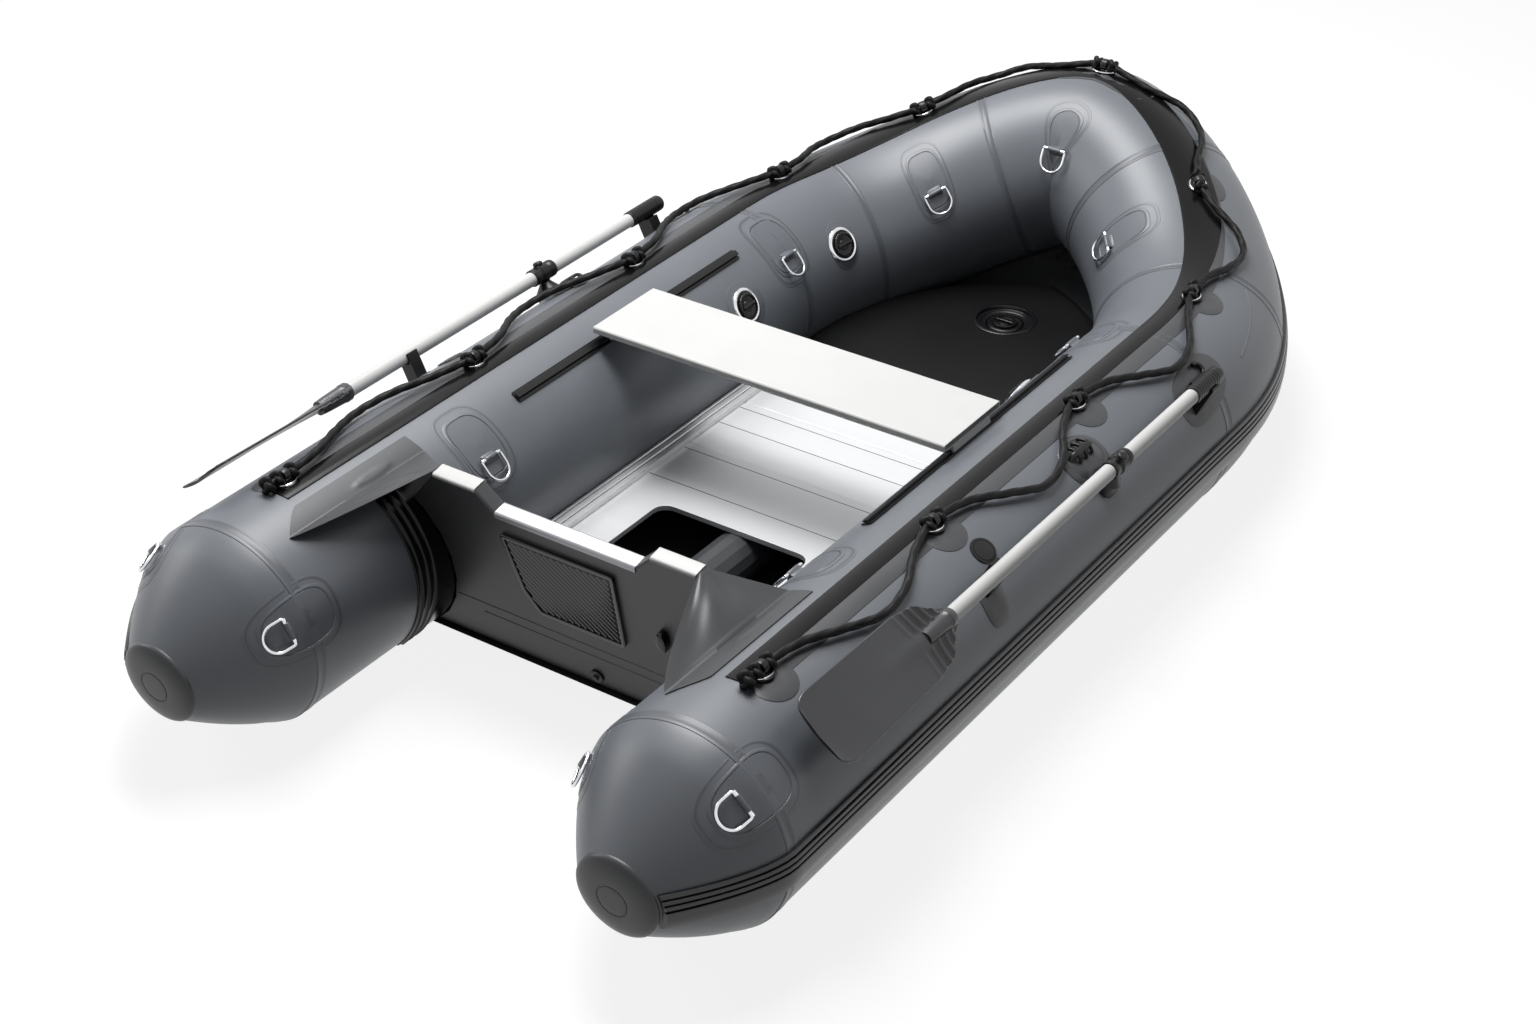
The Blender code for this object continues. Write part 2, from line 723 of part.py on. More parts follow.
def bar_frame(run, degrees, side, across, lift=0.0):
    """A frame at the ring's bar: X along the bar, Y the way the ring lies, Z off the tube."""
    skin = frame_on_tube(run, degrees, side).to_3x3()
    bow, off = skin.col[0], skin.col[2]
    reach = -bow if across else skin.col[1] * side
    spot = run_point(run, degrees, side=side) + off * (BAR_HEIGHT + lift)
    return Matrix.Translation(spot) @ Matrix((reach.cross(off), reach, off)).transposed().to_4x4()


def keeper(name, place, look, lift):
    """The welded loop that the ring's bar turns in, its root sunk into the tube's wall."""
    bore = (RING_WIRE / 2 + RUN_GAP) / math.cos(math.pi / 12)
    low, high = -(BAR_HEIGHT + lift + KEEPER_ROOT), KEEPER_TOP
    outer, inner = [], []
    for x in (-KEEPER_LENGTH / 2, KEEPER_LENGTH / 2):
        edge, hole = [], []
        for j in range(12):
            turn = 2 * math.pi * (j + 0.5) / 12
            c, s = math.cos(turn), math.sin(turn)
            limits = [KEEPER_WIDTH / 2 / abs(c), (high if s > 0 else -low) / abs(s)]
            edge.append(place @ Vector((x, c * min(limits), s * min(limits))))
            hole.append(place @ Vector((x, c * bore, s * bore)))
        outer.append(edge)
        inner.append(hole)
    return sleeve(name, outer, inner, look, helper=True)


def ring_outline():
    """The D's centreline: a straight bar, two legs and a round end, as (along bar, reach)."""
    half, arc = RING_WIDTH / 2, RING_REACH - RING_WIDTH / 2
    points = [(half - RING_CORNER / 2, 0), (half, RING_CORNER / 2), (half, arc)]
    for j in range(1, 6):
        turn = math.pi * j / 6
        points.append((half * math.cos(turn), arc + half * math.sin(turn)))
    return points + [(-half, arc), (-half, RING_CORNER / 2), (-half + RING_CORNER / 2, 0)]


def d_ring(name, place):
    """A steel ring of round wire, hinged on its bar."""
    outline = ring_outline()
    lean = Matrix.Rotation(-math.radians(RING_LEAN), 4, "X")
    rings = []
    for j, (x, y) in enumerate(outline):
        before, after = Vector(outline[j - 1]), Vector(outline[(j + 1) % len(outline)])
        into, out = (Vector((x, y)) - before).normalized(), (after - Vector((x, y))).normalized()
        way = (into + out).normalized()
        side_way = Vector((way.y, -way.x)) / max(way.dot(into), 0.5)
        ring = []
        for k in range(6):
            turn = 2 * math.pi * k / 6
            offset = side_way * math.cos(turn) * RING_WIRE / 2
            ring.append(place @ lean @ Vector((x + offset.x, y + offset.y, math.sin(turn) * RING_WIRE / 2)))
        rings.append(ring)
    faces = loft_faces(len(rings), 6)
    last = (len(rings) - 1) * 6
    faces += [(last + k, last + (k + 1) % 6, (k + 1) % 6, k) for k in range(6)]
    ring = new_object(name, [p for r in rings for p in r], faces, STEEL)
    set_origin(ring, place.translation)
    smooth(ring, 60)
    return ring


def ring_spots():
    """Each D-ring's name, its frame, the tube that carries its keeper, and how far it stands off."""
    spots = []
    for side, label in ((-1, "port"), (1, "starboard")):
        for spot, (run, angle) in RING_SIDE_PLACES.items():
            carrier, lift = ("bow", FORE_BAR_LIFT) if run > CHAMBER_JOINT else (label, 0)
            frame = bar_frame(run, angle, side, False, lift)
            spots.append((f"d_ring_{spot}_{label}", frame, carrier, lift))
        for spot, angle in RING_CONE_ANGLES.items():
            frame = bar_frame(RING_CONE_PLACE, angle, side, True)
            spots.append((f"d_ring_cone_{spot}_{label}", frame, label, 0))
    frame = bar_frame(RUN[BOW_STATION], RING_BOW_ANGLE, 1, False, BOW_BAR_LIFT)
    spots.append(("d_ring_bow", frame, "bow", BOW_BAR_LIFT))
    return spots


# Valves


def valve(label, frame, carrier):
    """A valve body let into its chamber, and the cap that turns to close it."""
    top = FIT_GAP + VALVE_FLANGE
    inside = (VALVE_BARREL_RADIUS + VALVE_BORE_RADIUS) / 2
    foot = FIT_GAP if label == "keel" else -VALVE_FLANGE
    body = bored("valve_body_" + label, [
        (VALVE_FLANGE_RADIUS, foot), (VALVE_FLANGE_RADIUS, top),
    ], inside, STEEL, frame, 2 * ROUND_SIDES)
    cut(body, TUBE_SPACE)
    fuse(body, bored("valve_barrel_" + label, [
        (VALVE_BARREL_RADIUS, -VALVE_BARREL_LENGTH), (VALVE_BARREL_RADIUS, top - FIT_GAP),
    ], VALVE_BORE_RADIUS, STEEL, frame, ROUND_SIDES, helper=True))
    clear = VALVE_BARREL_RADIUS + FIT_GAP * 2
    hole = turned("valve_hole_" + label, [
        (clear, -VALVE_BARREL_LENGTH), (clear, OVERRUN),
    ], STEEL, frame, ROUND_SIDES, helper=True)
    cut(carrier, hole)
    seat = top + RUN_GAP
    stem = VALVE_BORE_RADIUS * math.cos(math.pi / ROUND_SIDES) - RUN_GAP
    crest = seat + VALVE_CAP_HEIGHT * VALVE_CAP_CREST_SHARE
    cap = turned("valve_cap_" + label, [
        (stem, seat - VALVE_STEM_LENGTH), (stem, seat), (VALVE_CAP_RADIUS, seat),
        (VALVE_CAP_RADIUS, seat + VALVE_CAP_HEIGHT / 2), (VALVE_CAP_RADIUS * VALVE_CAP_TOP_SHARE, crest),
    ], BLACK_PLASTIC, frame, ROUND_SIDES)
    long, wide = VALVE_CAP_RADIUS * VALVE_GRIP_SHARE, VALVE_CAP_RADIUS * VALVE_GRIP_WIDTH_SHARE
    bar = prism("valve_grip_" + label, box_outline(-long, long, -wide, wide),
                seat + VALVE_CAP_HEIGHT * VALVE_GRIP_FOOT_SHARE, seat + VALVE_CAP_HEIGHT,
                BLACK_PLASTIC, frame, helper=True)
    fuse(cap, bar)
    set_origin(cap, frame.translation)
    smooth(body)
    smooth(cap)
    return body, cap


# Transom


def transom_frame():
    """Local X to starboard, Y up the board, Z straight aft off its aft face."""
    rake = math.radians(TRANSOM_RAKE)
    up = Vector((0, -math.sin(rake), math.cos(rake)))
    across = Vector((1, 0, 0))
    foot = Vector((0, forward(TRANSOM_FOOT), TRANSOM_FOOT_HEIGHT))
    return Matrix.Translation(foot) @ Matrix((across, up, across.cross(up))).transposed().to_4x4()


def up_board(height):
    """Distance up the raked board for a height above the ground."""
    return (height - TRANSOM_FOOT_HEIGHT) / math.cos(math.radians(TRANSOM_RAKE))


def mirrored(half):
    """An outline from its starboard half, which starts on the port side's mirror image."""
    return half + [(-x, y) for x, y in reversed(half)]


def board_edge(raise_by=0.0):
    """The board's top edge, starboard half, from the shoulder's end to the notch."""
    return [
        (SHOULDER_OUTER, up_board(SHOULDER_HEIGHT) + raise_by),
        (SHOULDER_INNER, up_board(SHOULDER_HEIGHT) + raise_by),
        (NOTCH_HALF_WIDTH, up_board(NOTCH_HEIGHT) + raise_by),
    ]


def tube_block(name, side, lift):
    """A helper that fills the straight tube beside the transom."""
    rings = []
    for place in (COLLAR_AFT - OVERRUN, TRANSOM_FOOT + TUBE_BLOCK_REACH):
        ring = [tube_point(CONE_STEPS, (j + 0.5) * FACET, lift, side) for j in range(TUBE_SIDES)]
        rings.append([Vector((p.x, forward(place), p.z)) for p in ring])
    return loft(name, rings, SLATE_PVC, helper=True)


def transom_board(frame):
    """The board that carries the outboard motor, cut to the tubes and notched for the motor."""
    flank = HALF_SPACING - TUBE_RADIUS * BOARD_FLANK_SHARE
    half = [(flank, 0), (flank, up_board(SHOULDER_SLOPE_FOOT - TRIM_LIP * 2))] + board_edge()
    board = prism("transom_board", mirrored(half), -TRANSOM_THICKNESS, 0, CHARCOAL_PVC, frame)
    for side, label in ((-1, "port"), (1, "starboard")):
        cut(board, tube_block("board_side_" + label, side, COLLAR_THICKNESS + FIT_GAP))
    spot = Matrix.Translation((DRAIN_PLACE, up_board(DRAIN_HEIGHT), 0))
    hole = turned("drain_hole", [
        (DRAIN_RADIUS / math.cos(math.pi / 24), -TRANSOM_THICKNESS - OVERRUN),
        (DRAIN_RADIUS / math.cos(math.pi / 24), OVERRUN),
    ], CHARCOAL_PVC, frame @ spot, helper=True)
    cut(board, hole)
    smooth(board)
    return board


def transom_trim(frame):
    """The channel that caps the board's top edge, shoulders and notch."""
    top = board_edge(TRIM_THICKNESS)
    low = board_edge(-TRIM_LIP)
    outline = top + [(-x, y) for x, y in reversed(top)] + [(-x, y) for x, y in low] + low[::-1]
    depth = TRANSOM_THICKNESS + TRIM_THICKNESS
    trim = prism("transom_trim", outline, -depth, TRIM_THICKNESS, BARE_ALUMINIUM, frame)
    core_half = [(SHOULDER_OUTER + OVERRUN, 0), (SHOULDER_OUTER + OVERRUN, board_edge(FIT_GAP)[0][1])]
    core = prism("trim_core", mirrored(core_half + board_edge(FIT_GAP)[1:]),
                 -TRANSOM_THICKNESS - FIT_GAP, FIT_GAP, BARE_ALUMINIUM, frame, helper=True)
    cut(trim, core)
    return trim


def motor_pads(frame):
    """The ribbed clamp plate on the aft face, and the plain one inside."""
    top, low, corner = up_board(PAD_TOP), up_board(PAD_BOTTOM), up_board(PAD_CORNER_HEIGHT)
    outer = [(-PAD_TOP_PORT, top), (-PAD_CORNER_PORT, corner), (-PAD_BOTTOM_PORT, low),
             (PAD_STARBOARD, low), (PAD_STARBOARD, top)]
    prism("motor_pad_outer", outer, FIT_GAP, FIT_GAP + PAD_THICKNESS, BLACK_RUBBER, frame)
    back = -TRANSOM_THICKNESS - FIT_GAP
    inner = box_outline(-PAD_INNER_HALF_WIDTH, PAD_INNER_HALF_WIDTH, low, top)
    prism("motor_pad_inner", inner, back - PAD_THICKNESS / 2, back, BLACK_RUBBER, frame)


def drain_plug(frame):
    """The rubber bung in the board's drain hole, which pulls out aft."""
    place = frame @ Matrix.Translation((DRAIN_PLACE, up_board(DRAIN_HEIGHT), 0))
    shank = DRAIN_RADIUS - RUN_GAP
    plug = turned("drain_plug", [
        (shank, -TRANSOM_THICKNESS), (shank, RUN_GAP), (DRAIN_HEAD, RUN_GAP),
        (DRAIN_HEAD, DRAIN_HEAD_LENGTH), (DRAIN_GRIP, DRAIN_HEAD_LENGTH), (DRAIN_GRIP, DRAIN_HEAD_LENGTH * 2),
    ], BLACK_RUBBER, place)
    set_origin(plug, place.translation)
    smooth(plug)
    return plug


def transom_fitting(frame):
    """The oval moulded fitting beside the motor pad."""
    width, depth, height = FITTING_SIZE
    rings = []
    for share, out in ((1.0, FIT_GAP), (1.0, depth * FITTING_EDGE_SHARE), (FITTING_TOP_SHARE, depth)):
        ring = []
        for j in range(FITTING_SIDES):
            turn = 2 * math.pi * j / FITTING_SIDES
            ring.append(frame @ Vector((
                FITTING_PLACE + share * width / 2 * math.cos(turn),
                up_board(FITTING_HEIGHT) + (height / 2 - (1 - share) * width / 2) * math.sin(turn), out)))
        rings.append(ring)
    fitting = loft("transom_fitting", rings, BLACK_PLASTIC)
    smooth(fitting, 40)
    return fitting


def facet_angles(low, high):
    """The two limits of a strip and each corner of the flat-sided tube between them."""
    first = math.ceil((low - FACET / 2) / FACET) * FACET + FACET / 2
    corners = np.arange(first, high, FACET)
    return [low] + [float(a) for a in corners if low + 1 < a < high - 1] + [high]


def straight_point(place, degrees, lift, side):
    """A point on the straight side tube, at a place along the boat."""
    p = tube_point(CONE_STEPS, degrees, lift, side)
    return Vector((p.x, forward(place), p.z))


def collar(name, side):
    """The ribbed reinforcement on the tube that the transom board is seated in."""
    angles = facet_angles(*COLLAR_ANGLES)
    steps = [(COLLAR_AFT, COLLAR_THICKNESS)]
    for place in COLLAR_RIB_PLACES:
        half = COLLAR_RIB_WIDTH / 2
        steps += [(place - half, COLLAR_THICKNESS), (place, COLLAR_THICKNESS + COLLAR_RIB),
                  (place + half, COLLAR_THICKNESS)]
    steps.append((COLLAR_FORE, COLLAR_THICKNESS))
    rings = []
    for place, lift in steps:
        outer = [straight_point(place, a, lift, side) for a in angles]
        rings.append(outer + [straight_point(place, a, FIT_GAP, side) for a in reversed(angles)])
    piece = loft(name, rings, BLACK_RUBBER)
    smooth(piece, 30)
    return piece


def flap(name, side, frame):
    """The fabric gusset from the tube's shoulder to the transom's, over the collar."""
    rows = []
    for a in facet_angles(*FLAP_ANGLES):
        share = (a - FLAP_ANGLES[0]) / (FLAP_ANGLES[1] - FLAP_ANGLES[0])
        ends = (FLAP_AFT + (1 - share) * FLAP_SPREAD, FLAP_FORE)
        lifts = (FLAP_THICKNESS + FIT_GAP, FIT_GAP)
        rows.append((ends, [straight_point(0, a, lift, side) for lift in lifts]))
    base = rows[-1][1]
    tip = frame @ Vector((0, up_board(SHOULDER_HEIGHT), -TRANSOM_THICKNESS / 2))
    tip_place = tip.y + OVERALL_LENGTH / 2
    end = Vector((side * (SHOULDER_OUTER + TRIM_THICKNESS), 0, tip.z))
    for share in (0.5, 1.0):
        ends = (rows[0][0][0] * (1 - share) + (tip_place - FLAP_HOLD) * share,
                FLAP_FORE * (1 - share) + (tip_place + FLAP_HOLD) * share)
        lifted = end + Vector((0, 0, FLAP_THICKNESS))
        rows.append((ends, [base[0].lerp(lifted, share), base[1].lerp(end, share)]))
    rings = []
    for (aft, fore), (over, under) in rows:
        places = [aft + (fore - aft) * k / (FLAP_COLUMNS - 1) for k in range(FLAP_COLUMNS)]
        ring = [Vector((over.x, forward(p), over.z)) for p in places]
        rings.append(ring + [Vector((under.x, forward(p), under.z)) for p in reversed(places)])
    piece = loft(name, rings, CHARCOAL_PVC)
    smooth(piece, 40)
    return piece


# Floor


def floor_start():
    """Where the floor can start, clear of the raked board's forward face."""
    rake = math.radians(TRANSOM_RAKE)
    face = TRANSOM_FOOT - (STRINGER_BOTTOM - TRANSOM_FOOT_HEIGHT) * math.tan(rake)
    return face + TRANSOM_THICKNESS / math.cos(rake) + RUN_GAP * 3


def rounded(corner, centre_turn, radius, steps=4):
    """Points of a quarter circle round a corner's centre, starting at an angle in degrees."""
    x, y = corner
    turns = [math.radians(centre_turn + 90 * k / steps) for k in range(steps + 1)]
    return [(x + radius * math.cos(t), y + radius * math.sin(t)) for t in turns]


def floor_panels():
    """Three aluminium panels: the aft one cut out round the drain, the others with a plank line."""
    aft, front = forward(floor_start()), forward(CUTOUT_FRONT)
    joints = [forward(place) for place in PANEL_JOINTS]
    corner = (CUTOUT_HALF_WIDTH - CUTOUT_CORNER, front - CUTOUT_CORNER)

    def around_cutout(inset, aft):
        arc = rounded(corner, 0, CUTOUT_CORNER + inset)
        edge = PANEL_HALF_WIDTH - inset
        half = [(edge, joints[0] - FIT_GAP / 2 - inset), (edge, aft), (CUTOUT_HALF_WIDTH + inset, aft)]
        return mirrored(half + arc)

    wall = PANEL_WALL
    panel = prism("floor_panel_aft", around_cutout(0, aft), FLOOR_BOTTOM, FLOOR_TOP, BARE_ALUMINIUM)
    cut(panel, prism("panel_core", around_cutout(wall, aft - OVERRUN), FLOOR_BOTTOM + wall, FLOOR_TOP - wall,
                     BARE_ALUMINIUM, helper=True))
    for name, low, high, line in (("floor_panel_middle", joints[0], joints[1], PLANK_LINES[0]),
                                  ("floor_panel_forward", joints[1], joints[2], PLANK_LINES[1])):
        low, high, line = low + FIT_GAP / 2, high - FIT_GAP / 2, forward(line)

        def section(inset):
            under, over = FLOOR_BOTTOM + inset, FLOOR_TOP - inset
            return [(low + inset, under), (high - inset, under), (high - inset, over),
                    (line + PLANK_GROOVE, over), (line, over - PLANK_GROOVE), (line - PLANK_GROOVE, over),
                    (low + inset, over)]

        ends = (-PANEL_HALF_WIDTH, PANEL_HALF_WIDTH)
        sleeve(name, [[(x, y, z) for y, z in section(0)] for x in ends],
               [[(x, y, z) for y, z in section(wall)] for x in ends], BARE_ALUMINIUM)


def stringer(name, side):
    """The extruded edge profile that grips the panels and bears on the tube."""
    slot = STRINGER_INNER + STRINGER_SLOT_DEPTH
    deep = HALF_SPACING - TUBE_RADIUS * STRINGER_REACH_SHARE
    width = deep - STRINGER_INNER
    section = [(STRINGER_INNER, STRINGER_BOTTOM), (deep, STRINGER_BOTTOM), (deep, STRINGER_TOP)]
    for share in STRINGER_GROOVE_SHARES:
        middle = STRINGER_INNER + width * share
        section += [(middle + STRINGER_GROOVE, STRINGER_TOP), (middle, STRINGER_TOP - STRINGER_GROOVE),
                    (middle - STRINGER_GROOVE, STRINGER_TOP)]
    over, under = FLOOR_TOP + FIT_GAP, FLOOR_BOTTOM - FIT_GAP
    section += [(STRINGER_INNER, STRINGER_TOP), (STRINGER_INNER, over), (slot, over), (slot, under),
                (STRINGER_INNER, under)]
    ends = (floor_start(), PANEL_JOINTS[2] - FIT_GAP / 2)
    piece = along_y(name, section, ends, BARE_ALUMINIUM, side)
    cut(piece, TUBE_SPACE)
    wall = STRINGER_WALL
    tube_edge = HALF_SPACING - math.sqrt(TUBE_RADIUS ** 2 - (TUBE_RADIUS - STRINGER_TOP) ** 2)
    roof = STRINGER_TOP - STRINGER_GROOVE - wall
    core = box_outline(slot + wall, tube_edge - wall, STRINGER_BOTTOM + wall, roof)
    places = (ends[0] - OVERRUN, ends[1] + OVERRUN)
    cut(piece, along_y("core_" + name, core, places, BARE_ALUMINIUM, side, helper=True))
    return piece


def plan_inset(i, inset, side):
    """A point level with the axis, moved inboard from a station by a distance in plan."""
    outboard = AXES[i][0].copy()
    outboard.z = 0
    outboard.normalize()
    point = CENTRES[i] - outboard * inset
    return side * point.x, point.y


def bow_board():
    """The dark board in front of the panels, with a round hole over the keel valve."""
    start = forward(PANEL_JOINTS[2]) + FIT_GAP / 2
    half = [(HALF_SPACING - BOARD_INSET, start)]
    half += [plan_inset(i, BOARD_INSET, 1) for i in range(JOINT_STATION + 1, BOW_STATION)]
    nose = plan_inset(BOW_STATION, BOARD_INSET, 1)
    outline = half + [nose] + [(-x, y) for x, y in reversed(half)]
    board = prism("bow_board", outline, FLOOR_BOTTOM, FLOOR_TOP, CHARCOAL_PVC)
    cut(board, TUBE_SPACE)
    spot = Matrix.Translation((0, forward(KEEL_VALVE_PLACE), 0))
    ends = (FLOOR_BOTTOM - OVERRUN, FLOOR_TOP + OVERRUN)
    hole = turned("board_hole", [(BOARD_HOLE_RADIUS, z) for z in ends], CHARCOAL_PVC, spot, helper=True)
    cut(board, hole)
    smooth(board)
    return board


def keel_height(place):
    """Height of the bottom skin's middle above the ground."""
    aft = max(0.0, 1 - (place - SKIN_START) / KEEL_AFT_LENGTH)
    reach = BOW_AXIS - TUBE_RADIUS * math.cos(math.radians(SKIN_BOW_ANGLE - 180)) - KEEL_RISE_START
    bow = max(0.0, place - KEEL_RISE_START) / reach
    return KEEL_LINE + (SKIN_AFT_LINE - KEEL_LINE) * aft ** 2 + KEEL_RISE * bow ** KEEL_RISE_POWER


def bottom_skin():
    """The fabric bottom between the tubes: a shallow V that rises under the bow."""
    def row(edge):
        flat = min(SKIN_FLAT, edge.x / 2)
        keel = keel_height(edge.y + OVERALL_LENGTH / 2)
        across = [(-edge.x, edge.z), (-flat, keel), (flat, keel), (edge.x, edge.z)]
        over = [Vector((x, edge.y, z)) for x, z in across]
        return over + [Vector((x, edge.y, z - SKIN_THICKNESS)) for x, z in reversed(across)]

    shares = (0, 0.25, 0.5, 0.75, 1)
    places = [SKIN_START + KEEL_AFT_LENGTH * share for share in shares] + [CHAMBER_JOINT]
    rows = [row(straight_point(place, SKIN_ANGLE, FIT_GAP, 1)) for place in places]
    for i in range(JOINT_STATION + 1, BOW_STATION):
        share = (i - JOINT_STATION - 1) / CURVE_STEPS
        rows.append(row(tube_point(i, SKIN_ANGLE + (SKIN_BOW_ANGLE - SKIN_ANGLE) * share, SKIN_BOW_GAP)))
    count = len(rows[0])
    faces = [tuple(range(count)), tuple(range((len(rows) - 1) * count, len(rows) * count))]
    for i in range(len(rows) - 1):
        for j in range(count):
            k = (j + 1) % count
            a, b = i * count, (i + 1) * count
            if j in (2, 6):    # both sides of the sheet are split the same way, so that they never cross
                faces += [(a + j, a + k, b + j), (a + k, b + k, b + j)]
            else:
                faces += [(a + j, a + k, b + k), (a + j, b + k, b + j)]
    skin = new_object("bottom_skin", [p for row_points in rows for p in row_points], faces, CHARCOAL_PVC)
    smooth(skin)
    return skin


def keel_radius(place):
    """Radius of the keel tube, and the height of its middle."""
    low = keel_height(place) + 3 * FIT_GAP
    return (FLOOR_BOTTOM - FIT_GAP - low) / 2, (FLOOR_BOTTOM - FIT_GAP + low) / 2


def keel_tube():
    """The inflatable keel between the bottom skin and the floor, which gives the hull its V."""
    aft, fore = KEEL_TUBE_ENDS

    def rings(wall):
        shape = []
        for share, swell in KEEL_TUBE_SHARES:
            place = aft + wall + (fore - aft - 2 * wall) * share
            radius, middle = keel_radius(place)
            corner = (radius * swell - wall) / math.cos(math.pi / KEEL_SIDES)
            turns = [2 * math.pi * (j + 0.5) / KEEL_SIDES for j in range(KEEL_SIDES)]
            shape.append([
                (corner * math.cos(t), forward(place), middle + corner * math.sin(t)) for t in turns])
        return shape

    keel = loft("keel_tube", rings(0), SLATE_PVC)
    cut(keel, loft("keel_air_space", rings(TUBE_WALL), SLATE_PVC, helper=True))
    smooth(keel)
    return keel


# Bench


def facet_frame(degrees, side):
    """Maps (along the facet, off the facet) points of a section to (x, z) at a side tube's facet."""
    turn = math.radians(degrees)
    x, z = HALF_SPACING + TUBE_RADIUS * math.cos(turn), TUBE_RADIUS * (1 + math.sin(turn))
    c, s = math.cos(turn), math.sin(turn)
    return lambda t, n: (x - t * s + n * c, z + t * c + n * s)


def seat_track(name, side):
    """The T-shaped rail that is glued along the tube and carries one end of the bench."""
    at = facet_frame(TRACK_ANGLE, side)
    base, web, head = TRACK_BASE_WIDTH / 2, TRACK_WEB / 2, TRACK_HEAD / 2
    n0, n1 = FIT_GAP, FIT_GAP + TRACK_BASE
    n2, n3 = n1 + TRACK_WEB_HEIGHT, n1 + TRACK_WEB_HEIGHT + TRACK_HEAD_HEIGHT
    section = [at(t, n) for t, n in (
        (-base, n0), (base, n0), (base, n1), (web, n1), (web, n2), (head, n2), (head, n3), (-head, n3),
        (-head, n2), (-web, n2), (-web, n1), (-base, n1))]
    return along_y(name, section, TRACK_ENDS, BLACK_RUBBER, side)


def bench_shoe(name, side):
    """The claw under the bench that wraps the rail's head and slides along it."""
    at = facet_frame(TRACK_ANGLE, side)
    web, head = TRACK_WEB / 2 + RUN_GAP, TRACK_HEAD / 2 + RUN_GAP
    wall = head + SHOE_WALL
    n0 = FIT_GAP + TRACK_BASE + RUN_GAP
    n2 = FIT_GAP + TRACK_BASE + TRACK_WEB_HEIGHT - RUN_GAP
    n3 = FIT_GAP + TRACK_BASE + TRACK_WEB_HEIGHT + TRACK_HEAD_HEIGHT + FIT_GAP
    under = BENCH_TOP - BENCH_THICKNESS + BENCH_WALL / 2
    left, right = at(-wall, n3), at(wall, n3)
    section = [at(-wall, n0), at(-web, n0), at(-web, n2), at(-head, n2), at(-head, n3),
               at(head, n3), at(head, n2), at(web, n2), at(web, n0), at(wall, n0),
               (right[0], under), (left[0], under)]
    middle = BENCH_AFT + BENCH_DEPTH / 2
    ends = (middle - SHOE_DEPTH / 2, middle + SHOE_DEPTH / 2)
    return along_y(name, section, ends, BARE_ALUMINIUM, side, helper=True)


def seat_bench():
    """The bench: a hollow aluminium plank with a shoe under each end."""
    aft, fore = forward(BENCH_AFT), forward(BENCH_AFT + BENCH_DEPTH)
    low, top, edge = BENCH_TOP - BENCH_THICKNESS, BENCH_TOP, BENCH_EDGE

    def ring(x, inset):
        a, f, lo, hi = aft + inset, fore - inset, low + inset, top - inset
        return [(x, y, z) for y, z in (
            (a + edge, lo), (f - edge, lo), (f, lo + edge), (f, hi - edge), (f - edge, hi), (a + edge, hi),
            (a, hi - edge), (a, lo + edge))]

    ends = (-BENCH_HALF_LENGTH, BENCH_HALF_LENGTH)
    outer, inner = [ring(x, 0) for x in ends], [ring(x, BENCH_WALL) for x in ends]
    bench = sleeve("seat_bench", outer, inner, WHITE_ALUMINIUM)
    for side, label in ((-1, "port"), (1, "starboard")):
        fuse(bench, bench_shoe("bench_shoe_" + label, side))
    smooth(bench)
    return bench


# Oars


def oar_frame(side):
    """Origin on the oar's axis at the pin: Y along the pin, Z forward along the oar."""
    turn, plane = math.radians(OAR_ANGLE), math.radians(OAR_PLANE)
    reach = TUBE_RADIUS + OAR_STANDOFF
    spot = Vector((side * (HALF_SPACING + reach * math.cos(turn)), forward(PIN_PLACE),
                   TUBE_RADIUS + reach * math.sin(turn)))
    pin = Vector((side * math.cos(plane), 0, math.sin(plane)))
    bow = Vector((0, 1, 0))
    return Matrix.Translation(spot) @ Matrix((pin.cross(bow), pin, bow)).transposed().to_4x4()


def pin_hole(name, frame, radius):
    """A helper along the pin, through the shaft."""
    turn = frame @ Matrix.Rotation(-math.pi / 2, 4, "X")
    corner = radius / math.cos(math.pi / ROUND_SIDES)
    reach = SHAFT_RADIUS + OVERRUN
    return turned(name, [(corner, -reach), (corner, reach)], STEEL, turn, ROUND_SIDES, helper=True)


